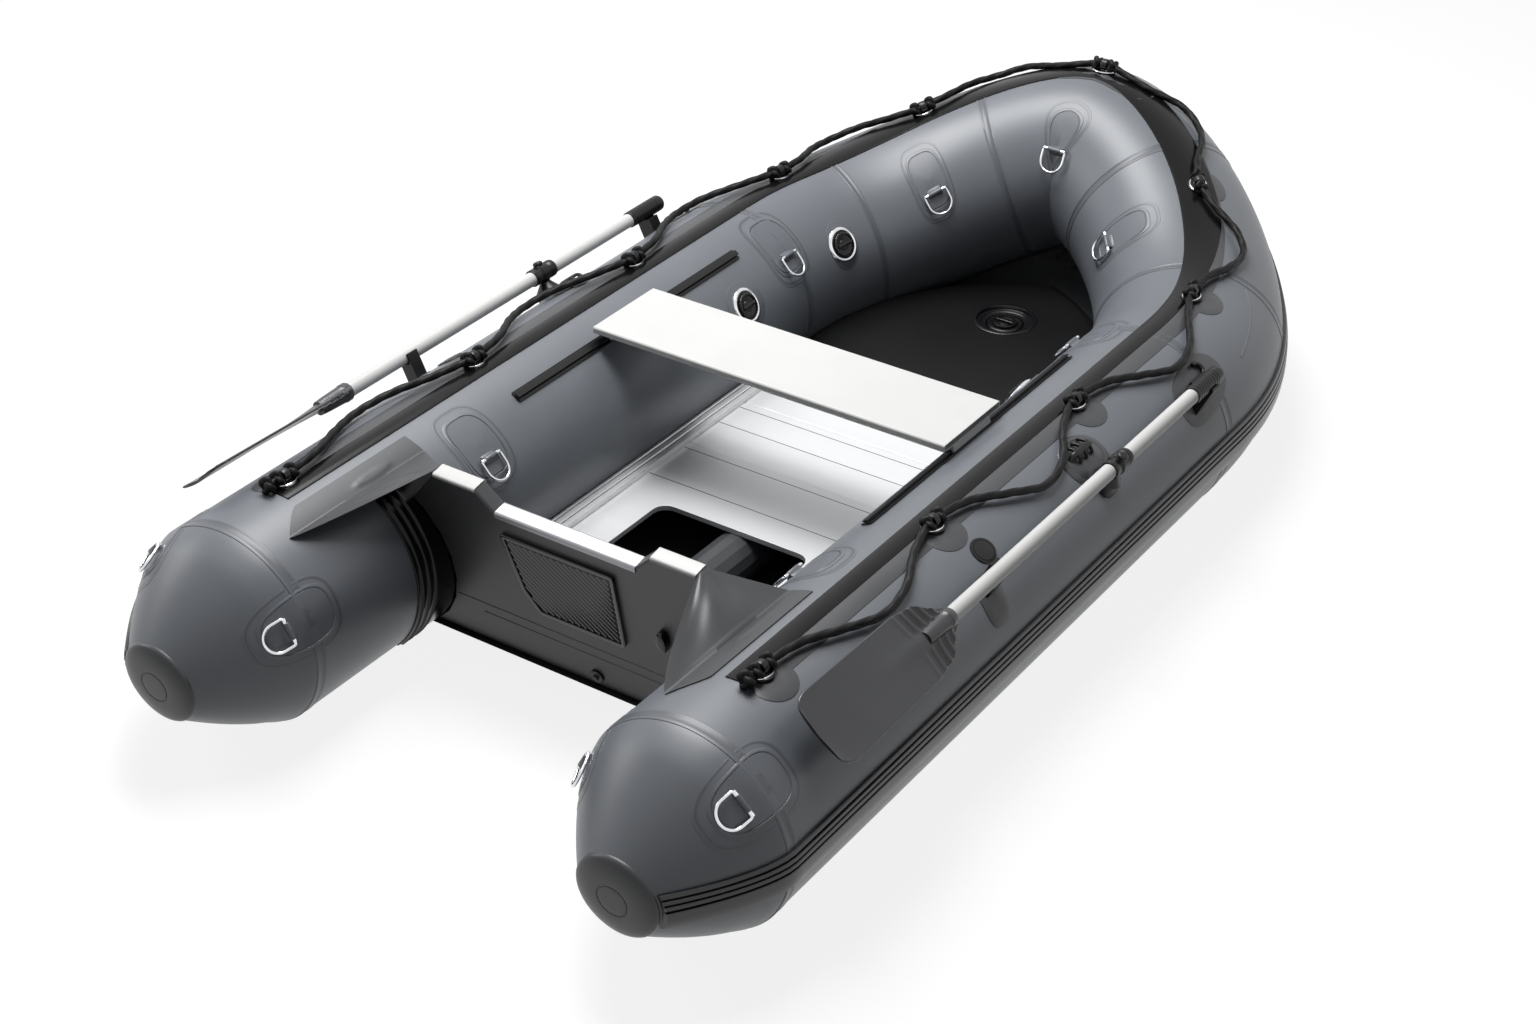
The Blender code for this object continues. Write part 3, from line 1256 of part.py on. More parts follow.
def oar(label, side):
    """One oar: an aluminium shaft with a rubber collar at the pin, a plastic blade and a grip."""
    frame = oar_frame(side)
    aft, fore = BLADE_NECK - SHAFT_INSERTION - PIN_PLACE, SHAFT_FORE - PIN_PLACE
    thick, half = BLADE_SOCKET_RADIUS, ROWLOCK_RADIUS
    shaft = bored("oar_shaft_" + label, [
        (SHAFT_RADIUS, aft), (SHAFT_RADIUS, -half), (thick, -half), (thick, half), (SHAFT_RADIUS, half),
        (SHAFT_RADIUS, fore)], SHAFT_RADIUS - SHAFT_WALL, WHITE_ALUMINIUM, frame, ROUND_SIDES)
    cut(shaft, pin_hole("pin_hole_" + label, frame, PIN_RADIUS + RUN_GAP))
    tip, neck = BLADE_AFT - PIN_PLACE, BLADE_NECK - PIN_PLACE
    wide, corner = BLADE_HALF_WIDTH, BLADE_HALF_WIDTH * BLADE_CORNER_SHARE
    shoulder = tip + (neck - tip) * BLADE_SHOULDER_SHARES[1]
    waist = shoulder + (neck - shoulder) * BLADE_WAIST_SHARES[1]
    half_outline = rounded((wide - corner, tip + corner), -90, corner) + [
        (wide * BLADE_SHOULDER_SHARES[0], shoulder), (wide * BLADE_WAIST_SHARES[0], waist),
        (thick, neck - thick)]
    outline = mirrored(half_outline)
    tilt = Matrix.Rotation(side * math.radians(BLADE_TILT), 4, "Z")
    flat = frame @ tilt @ Matrix.Rotation(math.pi / 2, 4, "X")
    half_thick = BLADE_THICKNESS / 2
    blade = prism("oar_blade_" + label, outline, -half_thick, half_thick, BLACK_PLASTIC, flat)
    root = tip + (neck - tip) * BLADE_ROOT_SHARE
    profile = [(thick * SOCKET_TIP_SHARE, root), (thick, root + thick), (thick, neck)]
    socket = turned("blade_socket_" + label, profile, BLACK_PLASTIC, frame, ROUND_SIDES, helper=True)
    fuse(blade, socket)
    cut(blade, turned("blade_bore_" + label, [
        (SHAFT_RADIUS + FIT_GAP, aft - FIT_GAP), (SHAFT_RADIUS + FIT_GAP, neck + OVERRUN)],
        BLACK_PLASTIC, frame, ROUND_SIDES, helper=True))
    open_end = GRIP_PLACE - PIN_PLACE
    grip = turned("oar_grip_" + label, [
        (GRIP_RADIUS, open_end), (GRIP_RADIUS, fore + FIT_GAP),
        (GRIP_RADIUS * GRIP_END_SHARE, fore + GRIP_WALL),
    ], BLACK_RUBBER, frame, ROUND_SIDES)
    cut(grip, turned("grip_bore_" + label, [
        (SHAFT_RADIUS + FIT_GAP, open_end - OVERRUN), (SHAFT_RADIUS + FIT_GAP, fore + FIT_GAP)],
        BLACK_RUBBER, frame, ROUND_SIDES, helper=True))
    hinge = bpy.data.objects.new("oar_hinge_" + label, None)
    hinge.location = frame.translation
    bpy.context.scene.collection.objects.link(hinge)
    for piece in (shaft, blade, grip):
        piece.data.transform(Matrix.Translation(-frame.translation))
        piece.parent = hinge
        smooth(piece)


def rowlock(name, side):
    """The moulded base on the tube with the steel pin that the oar turns on."""
    frame = oar_frame(side) @ Matrix.Rotation(-math.pi / 2, 4, "X")
    top = BLADE_SOCKET_RADIUS + RUN_GAP
    base_top = OAR_STANDOFF * ROWLOCK_SHOULDER_SHARE
    crown = top + PIN_HEAD_HEIGHT * PIN_HEAD_SHARE
    piece = turned(name, [
        (ROWLOCK_RADIUS, -OAR_STANDOFF * OAR_FOOT_SHARE), (ROWLOCK_RADIUS, -base_top),
        (ROWLOCK_NECK, -top - RUN_GAP * 4), (ROWLOCK_NECK, -top), (PIN_RADIUS, -top), (PIN_RADIUS, top),
        (PIN_HEAD_RADIUS, top), (PIN_HEAD_RADIUS, crown),
        (PIN_HEAD_RADIUS * PIN_HEAD_SHARE, top + PIN_HEAD_HEIGHT),
    ], BLACK_RUBBER, frame, ROUND_SIDES)
    cut(piece, TUBE_SPACE)
    smooth(piece)
    return piece


def oar_rest(name, side, place, radius, wall_outboard):
    """A cradle on the tube that the stowed oar lies in, open on the side it swings out of."""
    frame = oar_frame(side)
    inboard = side if not wall_outboard else -side
    hold = radius + FIT_GAP * 2
    foot, lip, horn = -OAR_STANDOFF * OAR_FOOT_SHARE, -hold * REST_LIP_SHARE, hold * REST_HORN_SHARE
    outline = [(lip, foot), (hold + REST_WALL, foot), (hold + REST_WALL, horn), (hold, horn),
               (hold, -hold), (lip, -hold)]
    middle = place - PIN_PLACE
    rings = [[frame @ Vector((inboard * x, y, z)) for x, y in outline]
             for z in (middle - REST_LENGTH / 2, middle + REST_LENGTH / 2)]
    piece = loft(name, rings, BLACK_RUBBER)
    cut(piece, TUBE_SPACE)
    return piece


# Assembly

TUBES = {"port": side_tube("tube_port", -1), "starboard": side_tube("tube_starboard", 1), "bow": bow_tube()}
BOARD_FRAME = transom_frame()

for SIDE, LABEL in ((-1, "port"), (1, "starboard")):
    stern_cap("stern_cap_" + LABEL, SIDE)
    collar("transom_collar_" + LABEL, SIDE)
    flap("transom_flap_" + LABEL, SIDE, BOARD_FRAME)
    stringer("stringer_" + LABEL, SIDE)
    seat_track("seat_track_" + LABEL, SIDE)
    oar(LABEL, SIDE)
    rowlock("rowlock_" + LABEL, SIDE)
    oar_rest("oar_rest_aft_" + LABEL, SIDE, REST_AFT_PLACE, SHAFT_RADIUS, False)
    oar_rest("oar_rest_fore_" + LABEL, SIDE, REST_FORE_PLACE, GRIP_RADIUS, True)
    valve(LABEL, frame_on_tube(VALVE_SIDE_PLACE, VALVE_ANGLE, SIDE), TUBES[LABEL])

rub_rail()
lifeline_band()
lifeline_rope()
transom_board(BOARD_FRAME)
transom_trim(BOARD_FRAME)
motor_pads(BOARD_FRAME)
drain_plug(BOARD_FRAME)
transom_fitting(BOARD_FRAME)
floor_panels()
bow_board()
bottom_skin()
KEEL = keel_tube()
KEEL_TOP = Matrix.Translation((0, forward(KEEL_VALVE_PLACE), FLOOR_BOTTOM - FIT_GAP))
valve("keel", KEEL_TOP, KEEL)
valve("bow", frame_on_tube(VALVE_BOW_PLACE, VALVE_ANGLE, -1), TUBES["bow"])
seat_bench()

for NAME, FRAME, CARRIER, STANDS_OFF in ring_spots():
    fuse(TUBES[CARRIER], keeper("keeper_" + NAME, FRAME, CHARCOAL_PVC, STANDS_OFF))
    d_ring(NAME, FRAME)
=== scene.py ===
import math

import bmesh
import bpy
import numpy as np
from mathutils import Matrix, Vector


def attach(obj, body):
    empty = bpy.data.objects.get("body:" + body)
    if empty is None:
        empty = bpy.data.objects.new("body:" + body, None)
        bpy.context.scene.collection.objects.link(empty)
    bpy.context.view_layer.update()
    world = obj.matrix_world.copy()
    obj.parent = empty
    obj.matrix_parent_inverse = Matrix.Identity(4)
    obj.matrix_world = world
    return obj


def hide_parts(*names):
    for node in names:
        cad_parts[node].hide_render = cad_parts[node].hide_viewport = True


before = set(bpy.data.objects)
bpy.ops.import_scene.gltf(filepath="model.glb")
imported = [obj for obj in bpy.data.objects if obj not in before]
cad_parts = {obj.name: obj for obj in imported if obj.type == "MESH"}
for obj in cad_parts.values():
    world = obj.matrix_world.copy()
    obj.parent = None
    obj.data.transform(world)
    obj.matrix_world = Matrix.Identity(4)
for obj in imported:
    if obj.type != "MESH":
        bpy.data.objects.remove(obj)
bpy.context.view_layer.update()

# %% [markdown]
# # Dressing an inflatable boat
# The solids of the boat are already in the scene, each on the body that it moves with. This lesson
# dresses them: every visible piece gets its real surface and a finish made of nodes. Nearly every
# piece here is worked out as a formula over a grid of points, because an inflated boat is a set of
# smooth tubes with flat things glued on them, and that is easy to say in numbers.

SIDES = ((-1, "port"), (1, "starboard"))
QUARTER_TURN = Matrix.Rotation(math.pi / 2, 4, "Y")


def unit(ways):
    """Each vector of an array at length 1."""
    return ways / np.linalg.norm(ways, axis=-1, keepdims=True)


def circle(count):
    """Equal steps of angle once round."""
    return np.linspace(0, 2 * math.pi, count, endpoint=False)


def joined(*coordinates):
    """Points from separate coordinates, each spread over the shape of the others."""
    return np.stack(np.broadcast_arrays(*coordinates), -1)


def standing(spot, *axes):
    """The frame at a spot that has these three axes."""
    return Matrix.Translation(spot) @ Matrix(axes).transposed().to_4x4()


def shown(name, data):
    """A new object in the scene."""
    made = bpy.data.objects.new(name, data)
    bpy.context.scene.collection.objects.link(made)
    return made


# %% [markdown]
# ## The camera
# The boat is seen from behind its starboard quarter, from about twice a person's height. The place
# and the lens come from matching the tubes, whose thickness is known, with the photograph. The
# camera looks along a fixed direction with its horizon level, so two angles are enough to aim it.

# %% Camera
EYE = Vector((2.5835, -3.9656, 3.0268))
AIM_ROUND, AIM_DOWN = math.radians(34.362), math.radians(32.423)
SENSOR, FOCAL_PIXELS, PICTURE_PIXELS = 36, 2626.37, 1536
back = Vector((math.sin(AIM_ROUND) * math.cos(AIM_DOWN), -math.cos(AIM_ROUND) * math.cos(AIM_DOWN),
               math.sin(AIM_DOWN)))
lens = bpy.data.cameras.new("camera")
lens.sensor_width = SENSOR
lens.lens = SENSOR * FOCAL_PIXELS / PICTURE_PIXELS
camera = shown("camera", lens)
camera.location = EYE
camera.rotation_euler = (-back).to_track_quat("-Z", "Y").to_euler()
bpy.context.scene.camera = camera
print("lens", round(lens.lens, 2), "mm")

# %% [markdown]
# ## Where things are on the boat
# Each place is a distance along the axis of a tube from the stern, called its run, and an angle
# round the tube: 0 is outboard, 90 on top, 180 inboard. The solids have 24 flat sides and straight
# steps round the bow. Pieces that hang on joints must sit exactly on those flats, so the stations of
# the solids are worked out here first, with the same numbers.

# %% Stations of the flat-sided tube
TUBE_RADIUS, HALF_SPACING = 0.21, 0.523
CONE_TIP, CONE_LENGTH, CONE_TIP_RADIUS, CONE_DROP, CONE_SWELL, CONE_STEPS = 0.016, 0.2, 0.082, 0.017, 1.4, 4
CURVE_START, CURVE_LENGTH, CURVE_STEPS = 1.875, 0.713, 9
SIDE_POWER, NOSE_POWER = 1.32, 0.934
BOW_RISE, RISE_START, RISE_POWER = 0.1906, 2.0, 2.54
CHAMBER_JOINT = 1.85
FACET = 15
RAIL_HEIGHT = 0.010
BOW_AXIS = CURVE_START + CURVE_LENGTH
HALF_LENGTH = (BOW_AXIS + TUBE_RADIUS + RAIL_HEIGHT) / 2
FIT_GAP = 0.0003
ROUNDING = 1e-9


def bow_line(share):
    """The bow curve: x falls as a cosine to a power, y rises as a sine to a power, and z climbs as a
    power of how far forward the point is."""
    turn = np.asarray(share) * math.pi / 2
    x = HALF_SPACING * np.cos(turn).clip(0) ** SIDE_POWER
    y = CURVE_START + CURVE_LENGTH * np.sin(turn) ** NOSE_POWER
    climb = np.maximum(0, y - RISE_START) / (BOW_AXIS - RISE_START)
    x = np.where(np.asarray(share) >= 1, 0.0, x)
    return np.stack([x, y, TUBE_RADIUS + BOW_RISE * climb ** RISE_POWER], axis=-1)


def along_line(points):
    """Distance from the first point to each, measured along the line."""
    return np.concatenate([[0], np.cumsum(np.linalg.norm(np.diff(points, axis=0), axis=1))])


def swell(share, full):
    """Radius of the stern cone: from its tip at 0 to the full tube at 1."""
    return CONE_TIP_RADIUS + (full - CONE_TIP_RADIUS) * (1 - (1 - share) ** CONE_SWELL)


def stations():
    """Centres, radii and runs of the solids' rings on the starboard tube."""
    shares = [i / CONE_STEPS for i in range(CONE_STEPS + 1)]
    radii = [swell(share, TUBE_RADIUS) for share in shares] + [TUBE_RADIUS] * (CURVE_STEPS + 2)
    centres = [(HALF_SPACING, CONE_TIP + CONE_LENGTH * share, TUBE_RADIUS - CONE_DROP * (1 - share))
               for share in shares]
    centres.append((HALF_SPACING, CHAMBER_JOINT, TUBE_RADIUS))
    fine = bow_line(np.linspace(0, 1, 40 * CURVE_STEPS + 1))
    reach = along_line(fine)
    stops = np.linspace(0, reach[-1], CURVE_STEPS + 1)
    centres += [tuple(np.interp(stop, reach, fine[:, k]) for k in range(3)) for stop in stops]
    points = [Vector((x, y - HALF_LENGTH, z)) for x, y, z in centres]
    run = CONE_TIP + along_line(np.array(points))
    slack = run[CONE_STEPS] - CONE_TIP - CONE_LENGTH
    return points, radii, [r if i < CONE_STEPS else r - slack for i, r in enumerate(run)]


CENTRES, RADII, RUN = stations()
BOW_STATION = len(CENTRES) - 1
BOW_RUN = RUN[BOW_STATION]
print("run to the bow:", round(BOW_RUN, 4))

# %% [markdown]
# ### Points and frames on the flat sides
# Each station has an outboard and an upward axis. A place between two stations lies on the straight
# line between them, and its frame has X to the bow and Z straight off the flat side.

# %% Points and frames on the flat sides


def heading(i):
    """The way the tube runs at a station."""
    if i == BOW_STATION:
        return Vector((-1, 0, 0))
    if i < CONE_STEPS:
        return (CENTRES[CONE_STEPS] - CENTRES[0]).normalized()
    if i <= CONE_STEPS + 2:
        return Vector((0, 1, 0))
    ahead, behind = CENTRES[i + 1] - CENTRES[i], CENTRES[i] - CENTRES[i - 1]
    return (ahead.normalized() + behind.normalized()).normalized()


def ring_axes(i):
    """The outboard and upward axes of a station."""
    way = heading(i)
    up = (Vector((0, 0, 1)) - way * way.z).normalized()
    return way.cross(up), up


RING_AXES = [ring_axes(i) for i in range(BOW_STATION + 1)]


def station_point(i, degrees, lift, side):
    """A point on a flat-sided ring: the radius grows to the corners as one over the cosine."""
    outboard, up = RING_AXES[i]
    off = (degrees + FACET / 2) % FACET - FACET / 2
    radius = (RADII[i] + lift) / math.cos(math.radians(off))
    turn = math.radians(degrees)
    point = CENTRES[i] + radius * (math.cos(turn) * outboard + math.sin(turn) * up)
    return Vector((side * point.x, point.y, point.z))


def last_station(run):
    """The station at or before a run, and the share of the way from it to the next."""
    i = max(k for k in range(BOW_STATION) if RUN[k] <= run + ROUNDING)
    return i, (run - RUN[i]) / (RUN[i + 1] - RUN[i])


def flat_point(run, degrees, lift=0.0, side=1):
    """The same between two stations, on the straight line that joins them."""
    i, share = last_station(run)
    return station_point(i, degrees, lift, side).lerp(station_point(i + 1, degrees, lift, side), share)


def flat_frame(run, degrees, side=1):
    """A frame on a flat side: X to the bow, Z straight off the flat."""
    i, share = last_station(run)
    spot = flat_point(run, degrees, side=side)
    bow = (station_point(i + 1, degrees, 0, side) - station_point(i, degrees, 0, side)).normalized()
    if run == BOW_RUN:
        bow = Vector((-side, 0, 0))
    middle = round(degrees / FACET) * FACET
    edge = flat_point(run, middle + FACET / 2, side=side) - flat_point(run, middle - FACET / 2, side=side)
    off = bow.cross(edge).normalized()
    centre = CENTRES[i].lerp(CENTRES[i + 1], share)
    if off.dot(spot - Vector((side * centre.x, centre.y, centre.z))) < 0:
        off = -off
    bow = (bow - off * bow.dot(off)).normalized()
    return standing(spot, bow, off.cross(bow), off)


print("a point on top amidships:", [round(c, 3) for c in flat_point(1.4, 90)])

# %% [markdown]
# ## The smooth skin
# The real tube is round. Its surface is one function of the run and the angle: the centre of the
# section, plus the radius times a unit vector at that angle. The radius lies between the flats and
# the corners of the solids, so that what is glued on the tube sits down on it.

# %% Smooth skin of the tubes
SKIN_RADIUS = 0.2091
CONE_TILT, TILT_END, TILT_SPAN = 0.085, 0.216, 0.05
NOSE_STEPS = 12
BOW_POINTS = bow_line(np.linspace(0, 1, 1601))
BOW_REACH = along_line(BOW_POINTS)
BOW_WAYS = np.gradient(BOW_POINTS, BOW_REACH, axis=0)
last_way = BOW_WAYS[-NOSE_STEPS - 1]
BOW_WAYS[-NOSE_STEPS:] = last_way + ((np.array([-1.0, 0, 0]) - last_way)
                                     * np.linspace(1 / NOSE_STEPS, 1, NOSE_STEPS)[:, None])
BOW_WAYS = unit(BOW_WAYS)


def section(run):
    """Centre, outboard and upward directions and radius of the tube's section at each run."""
    run = np.asarray(run, float)
    cone = np.clip((run - CONE_TIP) / CONE_LENGTH, 0, 1)
    reach = np.clip((run - CURVE_START) / (BOW_RUN - CURVE_START), 0, 1) * BOW_REACH[-1]

    def straight_or_bent(line, *straight):
        return np.stack([np.where(run > CURVE_START, np.interp(reach, BOW_REACH, line[:, k]), plain)
                         for k, plain in enumerate(straight)], -1)

    centre = straight_or_bent(BOW_POINTS, HALF_SPACING, run, TUBE_RADIUS - CONE_DROP * (1 - cone))
    tilt = CONE_TILT * np.clip((TILT_END - run) / TILT_SPAN, 0, 1)
    way = unit(straight_or_bent(BOW_WAYS, 0.0, 1.0, tilt))
    up = unit(np.array([0, 0, 1.0]) - way * way[..., 2:])
    return centre, np.cross(way, up), up, swell(cone, SKIN_RADIUS)


def skin(run, degrees, lift=0.0, side=1):
    """Centre + (radius + lift) * (cos angle * outboard + sin angle * up), mirrored for port."""
    run, degrees, lift, side = np.broadcast_arrays(*map(np.asarray, (run, degrees, lift, side)))
    centre, outboard, up, radius = section(run)
    turn = np.radians(degrees)[..., None]
    point = centre + (radius + lift)[..., None] * (np.cos(turn) * outboard + np.sin(turn) * up)
    point[..., 0] *= side
    point[..., 1] -= HALF_LENGTH
    return point


def both_sides(first, step=0.02):
    """Runs and sides of a line that goes from the port stern round the bow to the starboard stern."""
    run = np.linspace(first, BOW_RUN, int((BOW_RUN - first) / step) + 1)
    return np.concatenate([run, run[-2::-1]]), np.concatenate([-np.ones(len(run)), np.ones(len(run) - 1)])


print("skin on top at the bow:", skin(BOW_RUN, 90).round(3))

# %% [markdown]
# ## From grids to meshes
# A piece is one mesh made of one or more grids of points. Each grid becomes quads between its rows
# and columns, either of which may close on itself, and open ends can be capped. Points that fall
# together, as at a pole, are merged, and then all faces are turned to point outwards.

# %% Grid meshes
SAME_POINT, NO_LENGTH = 1e-6, 1e-7


def grid_faces(rows, columns, close_rows, close_columns, start):
    """Indices of the quads between neighbouring rows and columns."""
    i = np.arange(rows if close_rows else rows - 1)[:, None]
    j = np.arange(columns if close_columns else columns - 1)[None, :]
    a, b = i * columns, (i + 1) % rows * columns
    k = (j + 1) % columns
    return start + joined(a + j, a + k, b + k, b + j).reshape(-1, 4)


def fan(row, middle):
    """Triangles from each edge of a row to one point."""
    return joined(row, np.roll(row, -1), middle)


def shell(grid, close_rows=False, close_columns=True, cap=True, values=None):
    """One grid of a piece, with the way that it closes."""
    return np.asarray(grid, float), close_rows, close_columns, cap, values


def piece(name, grids, look, body="hull", stands_for=(), sharp=38):
    """Builds the mesh, gives it a finish, and fixes it to its body."""
    points, faces, values, start = [], [], [], 0
    for grid, close_rows, close_columns, cap, value in grids:
        rows, columns = grid.shape[:2]
        count = rows * columns
        points.append(grid.reshape(-1, 3))
        values.append(np.broadcast_to(0.0 if value is None else value, (rows, columns)).reshape(-1))
        faces += grid_faces(rows, columns, close_rows, close_columns, start).tolist()
        if cap and not close_rows and close_columns:
            for number, first in enumerate((0, count - columns)):
                points.append(grid.reshape(-1, 3)[first:first + columns].mean(0)[None])
                values.append(values[-1 - number][first:first + 1])
                faces += fan(start + np.arange(first, first + columns), start + count + number).tolist()
            count += 2
        start += count
    mesh = bpy.data.meshes.new(name)
    mesh.from_pydata(np.concatenate(points).tolist(), [], faces)
    depth = mesh.attributes.new("depth", "FLOAT", "POINT")
    depth.data.foreach_set("value", np.concatenate(values))
    edit = bmesh.new()
    edit.from_mesh(mesh)
    bmesh.ops.remove_doubles(edit, verts=edit.verts, dist=SAME_POINT)
    bmesh.ops.dissolve_degenerate(edit, edges=edit.edges, dist=NO_LENGTH)
    bmesh.ops.recalc_face_normals(edit, faces=edit.faces)
    edit.to_mesh(mesh)
    edit.free()
    mesh.shade_smooth()
    mesh.set_sharp_from_angle(angle=math.radians(sharp))
    mesh.materials.append(look)
    made = shown(name, mesh)
    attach(made, body)
    if stands_for:
        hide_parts(*([stands_for] if isinstance(stands_for, str) else stands_for))
    return made


def moved(frame_of_piece, points):
    """Local points through a 4 x 4 frame."""
    turn = np.array(frame_of_piece)
    return np.asarray(points, float) @ turn[:3, :3].T + turn[:3, 3]


def turned(profile, place, sides=48):
    """A solid of revolution round local Z: each (radius, height) of the profile makes one ring."""
    radius, height = np.asarray(profile, float).T[..., None]
    turn = circle(sides)
    return shell(moved(place, joined(radius * np.cos(turn), radius * np.sin(turn), height)))


def mirrored(half):
    """A profile from its lower half, which is given with its heights above the middle."""
    return [(radius, -height) for radius, height in half] + list(half[::-1])


def swept(path, radius, sides=12, closed=False, squash=1.0, hint=(0, 0, 1), values=None):
    """A wire along a path: at each point a ring across the path's own direction."""
    path, radius = np.asarray(path, float), np.asarray(radius, float)
    ahead = unit(np.roll(path, -1, 0) - np.roll(path, 1, 0) if closed else np.gradient(path, axis=0))
    across = unit(np.cross(ahead, np.asarray(hint, float)))
    over = np.cross(across, ahead)
    turn = circle(sides)[:, None]
    if radius.ndim < 2:
        radius = np.broadcast_to(radius, len(path))[:, None]
    ring = path[:, None] + radius[..., None] * (np.cos(turn) * across[:, None]
                                                + squash * np.sin(turn) * over[:, None])
    return shell(ring, close_rows=closed, values=values)


def eased(points, steps):
    """A smooth curve through points: the uniform Catmull-Rom cubic between each two."""
    p = np.asarray(points, float)
    p = np.concatenate([[2 * p[0] - p[1]], p, [2 * p[-1] - p[-2]]])
    t = np.linspace(0, 1, steps, endpoint=False)[:, None]
    a, b, c, d = p[:-3, None], p[1:-2, None], p[2:-1, None], p[3:, None]
    curve = 0.5 * (2 * b + (c - a) * t + (2 * a - 5 * b + 4 * c - d) * t ** 2
                   + (3 * b - a - 3 * c + d) * t ** 3)
    return np.concatenate([curve.reshape(-1, p.shape[1]), p[-2:-1]])


print("grid tools ready")

# %% [markdown]
# ## Finishes
# Each finish is a node tree on Object coordinates, so the pattern keeps its real size wherever the
# piece lies. A slow noise clouds the colour, a fast one roughens the surface, and the `depth` value
# that the grids carry darkens grooves and hollows towards a groove colour: this is painted shade.
# PVC cloth has a fine pressed grain, so its bump comes from cells about a millimetre wide.

# %% One recipe for the finishes
COAT_ROUGHNESS, BUMP_DISTANCE, CLOUD_DETAIL, CLOUD_EDGES = 0.36, 0.0004, 4, (0.3, 0.7)


def feed(tree, node, **inputs):
    """Gives each input of a node a value, or links it to another node's output."""
    for name, value in inputs.items():
        socket = node.inputs[name.replace("_", " ")]
        if isinstance(value, bpy.types.NodeSocket):
            tree.links.new(value, socket)
        else:
            socket.default_value = value


def add_node(tree, kind, output, settings=(), **inputs):
    """The named output of a new shader node."""
    made = tree.nodes.new("ShaderNode" + kind)
    for name, value in settings:
        setattr(made, name, value)
    feed(tree, made, **inputs)
    return made.outputs[output]


def finish(name, colour, rough, cloud=0.12, cloud_scale=5.0, grain=700.0, bump=0.12, cells=False,
           metallic=0.0, painted_groove_shade=(0.01, 0.01, 0.011), stretch=(1, 1, 1), spread=0.06, coat=0.0, shine=0.5):
    """Base colour * (1 +- cloud), roughness +- spread, bump from noise or cells, painted shade from depth."""
    made = bpy.data.materials.new(name)
    made.use_nodes = True
    tree = made.node_tree
    place = add_node(tree, "Mapping", "Vector", Scale=stretch, Vector=add_node(tree, "TexCoord", "Object"))
    clouds = add_node(tree, "TexNoise", "Fac", Scale=cloud_scale, Detail=CLOUD_DETAIL, Vector=place)
    shades = add_node(tree, "ValToRGB", "Color", Fac=clouds)
    for stop, edge, change in zip(shades.node.color_ramp.elements, CLOUD_EDGES, (1 - cloud, 1 + cloud)):
        stop.position = edge
        stop.color = (*(min(c * change, 1) for c in colour), 1)
    depth = add_node(tree, "Attribute", "Fac", [("attribute_name", "depth")])
    # depth mixes the colour towards the groove colour: painted shade in grooves and hollows
    colour_with_painted_shade = add_node(tree, "Mix", "Result", [("data_type", "RGBA")], Factor=depth, A=shades, B=(*painted_groove_shade, 1))
    fine = add_node(tree, "TexVoronoi" if cells else "TexNoise", "Distance" if cells else "Fac",
                    Scale=grain, Vector=place)
    relief = add_node(tree, "Bump", "Normal", Strength=bump, Distance=BUMP_DISTANCE, Height=fine)
    gloss = add_node(tree, "MapRange", "Result", To_Min=rough - spread, To_Max=rough + spread, Value=clouds)
    feed(tree, tree.nodes["Principled BSDF"], Metallic=metallic, Coat_Weight=coat, Base_Color=colour_with_painted_shade,
         Coat_Roughness=COAT_ROUGHNESS, Specular_IOR_Level=shine, Normal=relief, Roughness=gloss)
    return made


CLOTH = {"cells": True, "grain": 850}
SLATE = finish("slate_cloth", (0.130, 0.141, 0.159), 0.43, cloud=0.05, bump=0.10, coat=0.2, **CLOTH)
SLATE_SEAM = finish("slate_seam", (0.113, 0.123, 0.140), 0.42, cloud=0.05, coat=0.2,
                    painted_groove_shade=(0.03, 0.032, 0.036), **CLOTH)
CHARCOAL = finish("charcoal_cloth", (0.060, 0.0615, 0.067), 0.36, shine=0.42,
                  painted_groove_shade=(0.012, 0.012, 0.013), **CLOTH)
GUSSET = finish("gusset_cloth", (0.050, 0.0515, 0.056), 0.36, bump=0.08, shine=0.40, **CLOTH)
BOTTOM = finish("bottom_cloth", (0.040, 0.042, 0.046), 0.6, shine=0.12, **CLOTH)
BOARD_CLOTH = finish("transom_cover", (0.060, 0.061, 0.065), 0.42, painted_groove_shade=(0.02, 0.02, 0.022), **CLOTH)
BLACK_BAND = finish("black_band", (0.004, 0.004, 0.0045), 0.22, cells=True, grain=1100, bump=0.05, shine=0.18)
BOARD = finish("bow_board_cover", (0.0055, 0.0056, 0.006), 0.45, cells=True, grain=600, bump=0.2, shine=0.12)
RUBBER = finish("rail_rubber", (0.030, 0.031, 0.034), 0.28, cloud=0.1, grain=450, bump=0.1,
                painted_groove_shade=(0.003, 0.003, 0.003))
RIBBED = finish("ribbed_rubber", (0.0055, 0.0055, 0.006), 0.24, grain=230, bump=0.9, shine=0.6)
MOULDED = finish("moulded_rubber", (0.006, 0.006, 0.0065), 0.32, grain=500, bump=0.2, shine=0.3)
ROPE_YARN = finish("rope_yarn", (0.004, 0.004, 0.0044), 0.42, cloud=0.5, cloud_scale=160, grain=1500,
                   bump=0.7, shine=0.16, painted_groove_shade=(0.002, 0.002, 0.002))
PLASTIC = finish("black_plastic", (0.007, 0.007, 0.008), 0.28, grain=900, bump=0.1, shine=0.35)
BLADE = finish("blade_plastic", (0.052, 0.053, 0.058), 0.32, grain=900, bump=0.1, shine=0.45,
               painted_groove_shade=(0.003, 0.003, 0.003))
STEEL = finish("polished_steel", (0.72, 0.73, 0.75), 0.14, cloud=0.04, cloud_scale=60, grain=300,
               bump=0.03, metallic=1.0, spread=0.04, painted_groove_shade=(0.1, 0.1, 0.1))
ALUMINIUM = finish("brushed_aluminium", (0.79, 0.80, 0.81), 0.30, cloud=0.03, cloud_scale=9, grain=500,
                   bump=0.10, metallic=0.30, stretch=(0.03, 1, 1), painted_groove_shade=(0.25, 0.25, 0.26))
